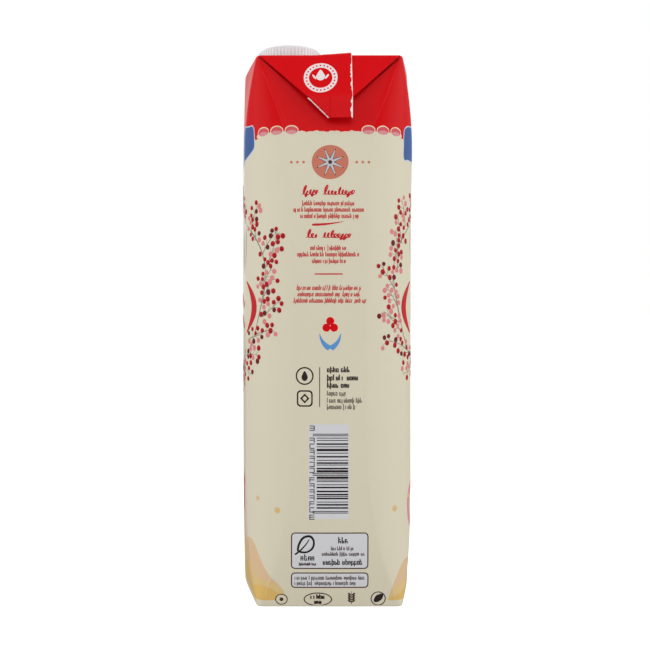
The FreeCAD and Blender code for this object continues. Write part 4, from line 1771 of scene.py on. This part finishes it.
def joined_piece(name: str, pieces: list[bpy.types.Object]) -> bpy.types.Object:
    """Joins pieces of one finish into one."""
    with bpy.context.temp_override(active_object=pieces[0], selected_editable_objects=pieces):
        bpy.ops.object.join()
    pieces[0].name = name
    pieces[0].data.name = name
    return pieces[0]


@dataclass
class PanelText:
    """Type, rules, bars and handwriting of the print."""

    press: Press
    page: float

    def build(self) -> list[bpy.types.Object]:
        """Prints everything and gives the pieces."""
        return [self._red_type(), self._black_type(), self._fine_type(), self._headings(), self._barcode(),
                self._flourish(), self._steam()]

    def _red_type(self) -> bpy.types.Object:
        """Red lines of type on both narrow panels."""
        marks = FlatMarks()
        lines = [(-11.0, 9.9, 159.5, 1.3, 0), (-14.5, 13.4, 157.0, 1.3, 0), (-11.8, 11.0, 154.5, 1.3, 0),
                 (-7.9, 6.3, 141.9, 1.3, 0), (-13.0, 11.6, 139.4, 1.3, 0), (-7.2, 6.3, 136.8, 1.3, 0),
                 (-13.4, 12.2, 126.2, 1.35, 12), (-13.0, 11.8, 123.7, 1.35, 12), (-14.6, 13.8, 121.2, 1.35, 12)]
        for shift, seed in ((0.0, 3), (self.page / 2, 40)):
            for index, (left, right, z, tall, slant) in enumerate(lines):
                marks.type_line(left + shift, right + shift, z, tall, index + seed, slant)
        return self.press.stamp("print_red_type", marks, Ink.TEXT_RED)

    def _black_type(self) -> bpy.types.Object:
        """Bold dark lines of type."""
        marks = FlatMarks()
        for index, (left, right, z) in enumerate(((-1.3, 7.2, 93.9), (-1.3, 11.0, 90.7), (-1.3, 7.6, 87.8))):
            marks.type_line(left, right, z, 1.5, index + 70, 0, 0.46, 0.76)
        marks.type_line(3.2, 7.6, 26.2, 1.7, 75, 0, 0.44, 0.72)
        marks.type_line(-2.8, 13.6, 17.5, 1.55, 76, 0, 0.4, 0.72)
        marks.type_line(-11.6, -5.4, 19.2, 1.7, 77, 0, 0.42, 0.8)
        marks.type_line(-7.7, -1.6, 3.4, 1.3, 78, 0, 0.5, 0.85)
        marks.type_line(-6.2, -3.0, 1.3, 1.25, 79, 0, 0.5, 0.8)
        return self.press.stamp("print_black_type", marks, Ink.BLACK)

    def _fine_type(self) -> bpy.types.Object:
        """Fine dark lines of type."""
        marks = FlatMarks()
        lines = [(-1.3, 6.4, 84.7, 1.35), (-1.3, 12.7, 81.9, 1.35), (-1.3, 10.0, 79.4, 1.35),
                 (0.4, 9.9, 23.4, 1.1), (-3.2, 14.0, 21.2, 1.1), (-12.2, -5.2, 17.3, 0.8),
                 (-13.9, 14.0, 11.4, 1.15), (-13.9, 10.2, 9.2, 1.15)]
        for index, (left, right, z, tall) in enumerate(lines):
            marks.type_line(left, right, z, tall, index + 90, 0, 0.25, 0.62 if index < 3 else 0.72)
        for index in range(9):
            z = 102.0 - 5.0 * index
            marks.type_line(self.page / 2 - 13.5, self.page / 2 - 2 - (index % 3) * 2.5, z, 1.3, index + 120, 0, 0.25)
            marks.type_line(self.page / 2 + 5, self.page / 2 + 10.5, z, 1.3, index + 140, 0, 0.25)
        for index in range(6):
            marks.type_line(self.page / 2 - 13, self.page / 2 + 13 - (index % 2) * 4, 48 - index * 3.0, 1.1,
                            index + 160, 0, 0.25)
        return self.press.stamp("print_fine_type", marks, Ink.INK_BROWN)

    def _headings(self) -> bpy.types.Object:
        """Red handwritten scribbles with a brush stroke and a rule."""
        strokes = FlatStrokes()
        for shift in (0.0, self.page / 2):
            strokes.script(shift - 11.2, shift - 5.0, 163.8, 1.5, 3.6, 5, 0.78, 21)
            strokes.script(shift - 2.9, shift + 9.4, 163.8, 1.5, 3.7, 9, 0.78, 22)
            strokes.script(shift - 9.6, shift - 5.0, 146.8, 1.5, 3.3, 3, 0.78, 23)
            strokes.script(shift - 3.2, shift + 8.1, 146.8, 1.5, 2.0, 8, 0.78, 24)
            strokes.add([(shift - 7.1 + 1.55 * k, 151.9 + 0.02 * k * k) for k in range(9)],
                        [0.75, 0.95, 0.85, 0.9, 0.7, 0.6, 0.45, 0.3, 0.12])
            strokes.add([(shift - 6.1, 132.5), (shift - 2, 132.5), (shift + 2, 132.5), (shift + 4.9, 132.5)],
                        [0.5] * 4)
        return self.press.draw("print_red_script", strokes, Ink.TEXT_RED)

    def _barcode(self) -> bpy.types.Object:
        """Bars of uneven width, and a column of plain blocks beside them."""
        marks = FlatMarks()
        chance = random.Random(17)
        low, high = 38.2, 69.7
        modules = [(1, True)] * 3
        for half in range(2):
            for _ in range(24):
                modules.append((chance.choice((1, 1, 2, 2, 3)), False))
            modules += [(1, True)] * (5 if half == 0 else 3)
        unit = (high - low) / sum(size for size, _ in modules)
        z = low
        for index, (size, guard) in enumerate(modules):
            if index % 2 == 0:
                left = -6.9 if guard else -5.3
                marks.add((left + 7.1) / 2, z + size * unit / 2, 7.1 - left, size * unit)
            z += size * unit
        for k in range(14):
            z = (36.7, 71.9)[k // 13] if k in (0, 13) else 39.6 + (k - 1) * 2.38 + (1.4 if k > 6 else 0)
            missing = chance.randrange(3)
            for index, side in enumerate((-0.85, 0.0, 0.85)):
                if index != missing or k in (0, 13):
                    marks.add(-7.15, z + side, 2.0, 0.32)
            marks.add(-7.15 + chance.choice((-0.84, 0.84)), z, 0.32, 2.0)
        return self.press.stamp("print_bars", marks, Ink.BLACK, Shape.BLOCK, 2)

    def _flourish(self) -> bpy.types.Object:
        """Bold red brush strokes across each wide panel: two waves between two bows."""
        strokes = FlatStrokes()
        for centre in (-self.page / 4, self.page / 4):
            for side in (-1, 1):
                strokes.add([(centre + side * (21.5 + 7.6 * math.sin(math.pi * (k + 1) / 14)), 109.0 + 1.75 * k)
                             for k in range(13)], [0.5 + 3.0 * math.sin(math.pi * k / 12) for k in range(13)])
            for z, wide in ((122.0, 2.6), (113.0, 1.8)):
                strokes.add([(centre - 17.5 + 1.25 * k, z + 2.2 * math.sin(math.pi * k / 7)) for k in range(29)],
                            [0.3 + wide * math.sin(math.pi * k / 28) for k in range(29)])
        return self.press.draw("print_brush_strokes", strokes, Ink.TEXT_RED, 2)

    def _steam(self) -> bpy.types.Object:
        """Thin grey pen lines that rise beside the tumbler."""
        strokes = FlatStrokes()
        for centre in (-self.page / 4, self.page / 4):
            for side in (-1, 1):
                for line in range(6):
                    away = side * (10.5 + 2.4 * line)
                    foot = 134.0 + 1.4 * (line % 3)
                    strokes.add([(centre + away + side * 0.6 * math.sin(k * 0.55 + line), foot + 1.9 * k)
                                 for k in range(9)],
                                [0.1 + 0.26 * math.sin(math.pi * (k + 0.5) / 9) for k in range(9)])
        return self.press.draw("print_pen_lines", strokes, Ink.TWIG)


@dataclass
class BaseFolds:
    """The two ears and the sealed fin, folded flat inside the base's rim."""

    end_width: float
    end_depth: float
    ply: float
    fin_width: float = TopFolds.fin_width
    rim: float = Sleeve.base_rim
    ceiling: float = Sleeve.base_rise
    reach: float = 28.0
    bevel: float = 0.25

    def _plate(self, name: str, outline: Points, low: float) -> bpy.types.Object:
        """Flat board between a height and the base panel, its lower edge rounded off."""
        middle = np.mean(outline, axis=0)
        count = len(outline)
        points = []
        for share, z in ((0.97, low), (0.99, low + self.bevel * 0.3), (1.0, low + self.bevel),
                         (1.0, self.ceiling + 0.1)):
            points += [(*(middle + (np.array(corner) - middle) * share), z) for corner in outline]
        return mesh_object(name, np.array(points), tube_faces(4, count), [Ink.CREAM.value])

    def build(self) -> list[bpy.types.Object]:
        """Makes both base ears, the base fin and its raw edge."""
        half = self.end_width / 2 - self.rim
        rim_y = self.end_depth / 2 - self.rim / 2
        tip_y = self.end_depth / 2 - self.reach
        pieces = []
        for name, side in (("near_base_ear", -1), ("far_base_ear", 1)):
            outline = [(-half, side * rim_y), (half, side * rim_y), (0.5, side * tip_y), (-0.5, side * tip_y)]
            pieces.append(self._plate(name, outline[::-side], self.ceiling - 2 * self.ply))
        length = self.end_depth / 2 - self.rim
        fin = divided([(0.0, -length), (self.fin_width, -length), (self.fin_width, length), (0.0, length)], 4.0)
        pieces.append(self._plate("base_fin", fin, self.ceiling - self.ply))
        points = []
        chance = random.Random(23)
        steps = 90
        for step in range(steps + 1):
            y = -length + 0.2 + (2 * length - 0.4) * step / steps
            wide = chance.uniform(0.15, 0.6)
            for x, z in ((self.fin_width - wide, 0.04), (self.fin_width - wide, -0.04), (self.fin_width + 0.06, -0.04),
                         (self.fin_width + 0.06, 0.5)):
                points.append((x, y, self.ceiling - self.ply + z))
        pieces.append(mesh_object("base_fin_raw_edge", np.array(points), tube_faces(steps + 1, 4), [RawPaper()]))
        return pieces


# ---- stage
@dataclass
class Studio:
    """Floor, light and camera."""

    camera_at: tuple[float, float, float] = (-15.79, -347.3, 120.5)
    lens: float = 43.53
    shift: Point = (0.0538, -0.0315)

    def build(self) -> None:
        """Makes the floor, the lamps, the world and the camera."""
        self._floor()
        self._world()
        self._lamp("left", (-1600, -500, 500), 1500, 16.5)
        self._lamp("right", (1600, -500, 500), 1500, 18.7)
        self._lamp("front", (-150, -1900, 900), 1300, 10.5)
        camera = bpy.data.cameras.new("camera")
        camera.lens = self.lens
        camera.shift_x, camera.shift_y = self.shift
        camera.clip_start = 0.01
        seat = linked("camera", camera)
        seat.location = Vector(self.camera_at) * MM
        seat.rotation_euler = (math.radians(90), 0, 0)
        bpy.context.scene.camera = seat
        bpy.context.scene.view_settings.view_transform = "Standard"

    def _lamp(self, name: str, place: tuple[float, float, float], size: float, power: float) -> None:
        """Adds one soft lamp that looks at the carton's middle."""
        light = bpy.data.lights.new(name, "AREA")
        light.size = size * MM
        light.energy = power
        lamp = linked(name, light)
        lamp.location = Vector(place) * MM
        aim = Vector((0, 0, 120)) - Vector(place)
        lamp.rotation_euler = aim.to_track_quat("-Z", "Y").to_euler()

    def _seen(self, graph: Graph) -> Value:
        """1 for camera, glossy and transmission rays."""
        rays = graph.node("ShaderNodeLightPath")
        seen = graph.number(rays.outputs["Is Camera Ray"]) + rays.outputs["Is Glossy Ray"]
        return seen + rays.outputs["Is Transmission Ray"]

    def _world(self) -> None:
        """White surroundings, dimmer as a lamp than they look."""
        world = bpy.data.worlds.new("studio")
        graph = Graph.cleared(world)
        seen = self._seen(graph)
        strength = 1.0 - (1.0 - seen.clamped()) * 0.42
        back = graph.node("ShaderNodeBackground", None, {"Color": (1, 1, 1, 1), "Strength": strength})
        graph.node("ShaderNodeOutputWorld", None, {"Surface": back})
        bpy.context.scene.world = world

    def _floor(self) -> None:
        """Pale floor that keeps the carton's shadow."""
        mesh = bpy.data.meshes.new("floor")
        reach = 6.0
        mesh.from_pydata([(-reach, -reach, 0), (reach, -reach, 0), (reach, reach, 0), (-reach, reach, 0)],
                         [], [(0, 1, 2, 3)])
        floor = linked("floor", mesh)
        material = bpy.data.materials.new("floor")
        graph = Graph.cleared(material)
        rays = graph.node("ShaderNodeLightPath")
        plain = graph.node("ShaderNodeBsdfDiffuse", None, {"Color": (0.45, 0.45, 0.45, 1)})
        white = graph.node("ShaderNodeBsdfDiffuse", None, {"Color": (1, 1, 1, 1)})
        glow = graph.node("ShaderNodeEmission", None, {"Color": (1, 1, 1, 1), "Strength": 0.6})
        both = graph.node("ShaderNodeAddShader", None, {0: white, 1: glow})
        mixed = graph.node("ShaderNodeMixShader", None, {
            0: rays.outputs["Is Camera Ray"], 1: plain, 2: both})
        graph.node("ShaderNodeOutputMaterial", None, {"Surface": mixed})
        mesh.materials.append(material)


def main() -> None:
    """Builds every piece in order."""
    low, high = (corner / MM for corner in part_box("carton"))
    ply = 1.0
    folds_tilt = math.radians(TopFolds.tilt)
    height = high.z - ply
    end_width = 2 * (high.x - Sleeve.bow_mid)
    end_depth = 2 * (high.y - ply - TopFolds.bend_at * math.sin(folds_tilt) - TopFolds.crease_proud)
    sleeve_shape = Sleeve(height, end_width, end_depth)
    layout = PrintLayout(sleeve_shape.page, height)
    sleeve = sleeve_shape.build(layout.fields())
    press = Press(sleeve, sleeve_shape.page, height)
    printed = PanelText(press, sleeve_shape.page).build()
    twigs, shine = FlatStrokes(), FlatMarks()
    berries = {ink: FlatMarks() for ink in (Ink.CRIMSON, Ink.ROSE, Ink.MAROON)}
    for side, seed in ((-1, 7), (1, 8)):
        Wreath((side * sleeve_shape.page / 4, 128.0), seed).draw(twigs, berries, shine)
    printed.append(press.draw("print_twigs", twigs, Ink.TWIG))
    for ink, marks in berries.items():
        printed.append(press.stamp("print_berries_" + ink.name.lower(), marks, ink, Shape.DISC, 0, 1))
    printed.append(press.stamp("print_berry_shade", shine, Ink.MAROON, Shape.DISC, 0, 2))
    add_piece(sleeve, "printed_board", "carton")
    for piece in printed:
        add_piece(piece, "printed_board")
    folds = TopFolds(height, end_width, end_depth, ply)
    for piece in (folds.ear("near_ear", False), folds.ear("far_ear", True), folds.fin(), folds.fin_edge(),
                  folds.ear_edge("near_ear_raw_edge", False), folds.ear_edge("far_ear_raw_edge", True)):
        add_piece(piece, "printed_board")
    for piece in EarMark(folds).build() + BaseFolds(end_width, end_depth, ply).build():
        add_piece(piece, "printed_board")
    low, high = (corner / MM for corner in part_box("screw_cap"))
    plastic = MouldedPlastic("cap_plastic", (221, 223, 224))
    cap = ScrewCap(((low.x + high.x) / 2, (low.y + high.y) / 2), low.z, high.z, (high.x - low.x) / 2)
    add_piece(cap.build(plastic), "cap_plastic", "screw_cap")
    flange = MouldedPlastic("closure_plastic", (226, 220, 219))
    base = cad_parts["closure_base"]
    base.data.materials.clear()
    base.data.materials.append(flange.material())
    Studio().build()


if __name__ == "__main__":
    logging.basicConfig(level=logging.INFO, format="%(message)s")
    main()
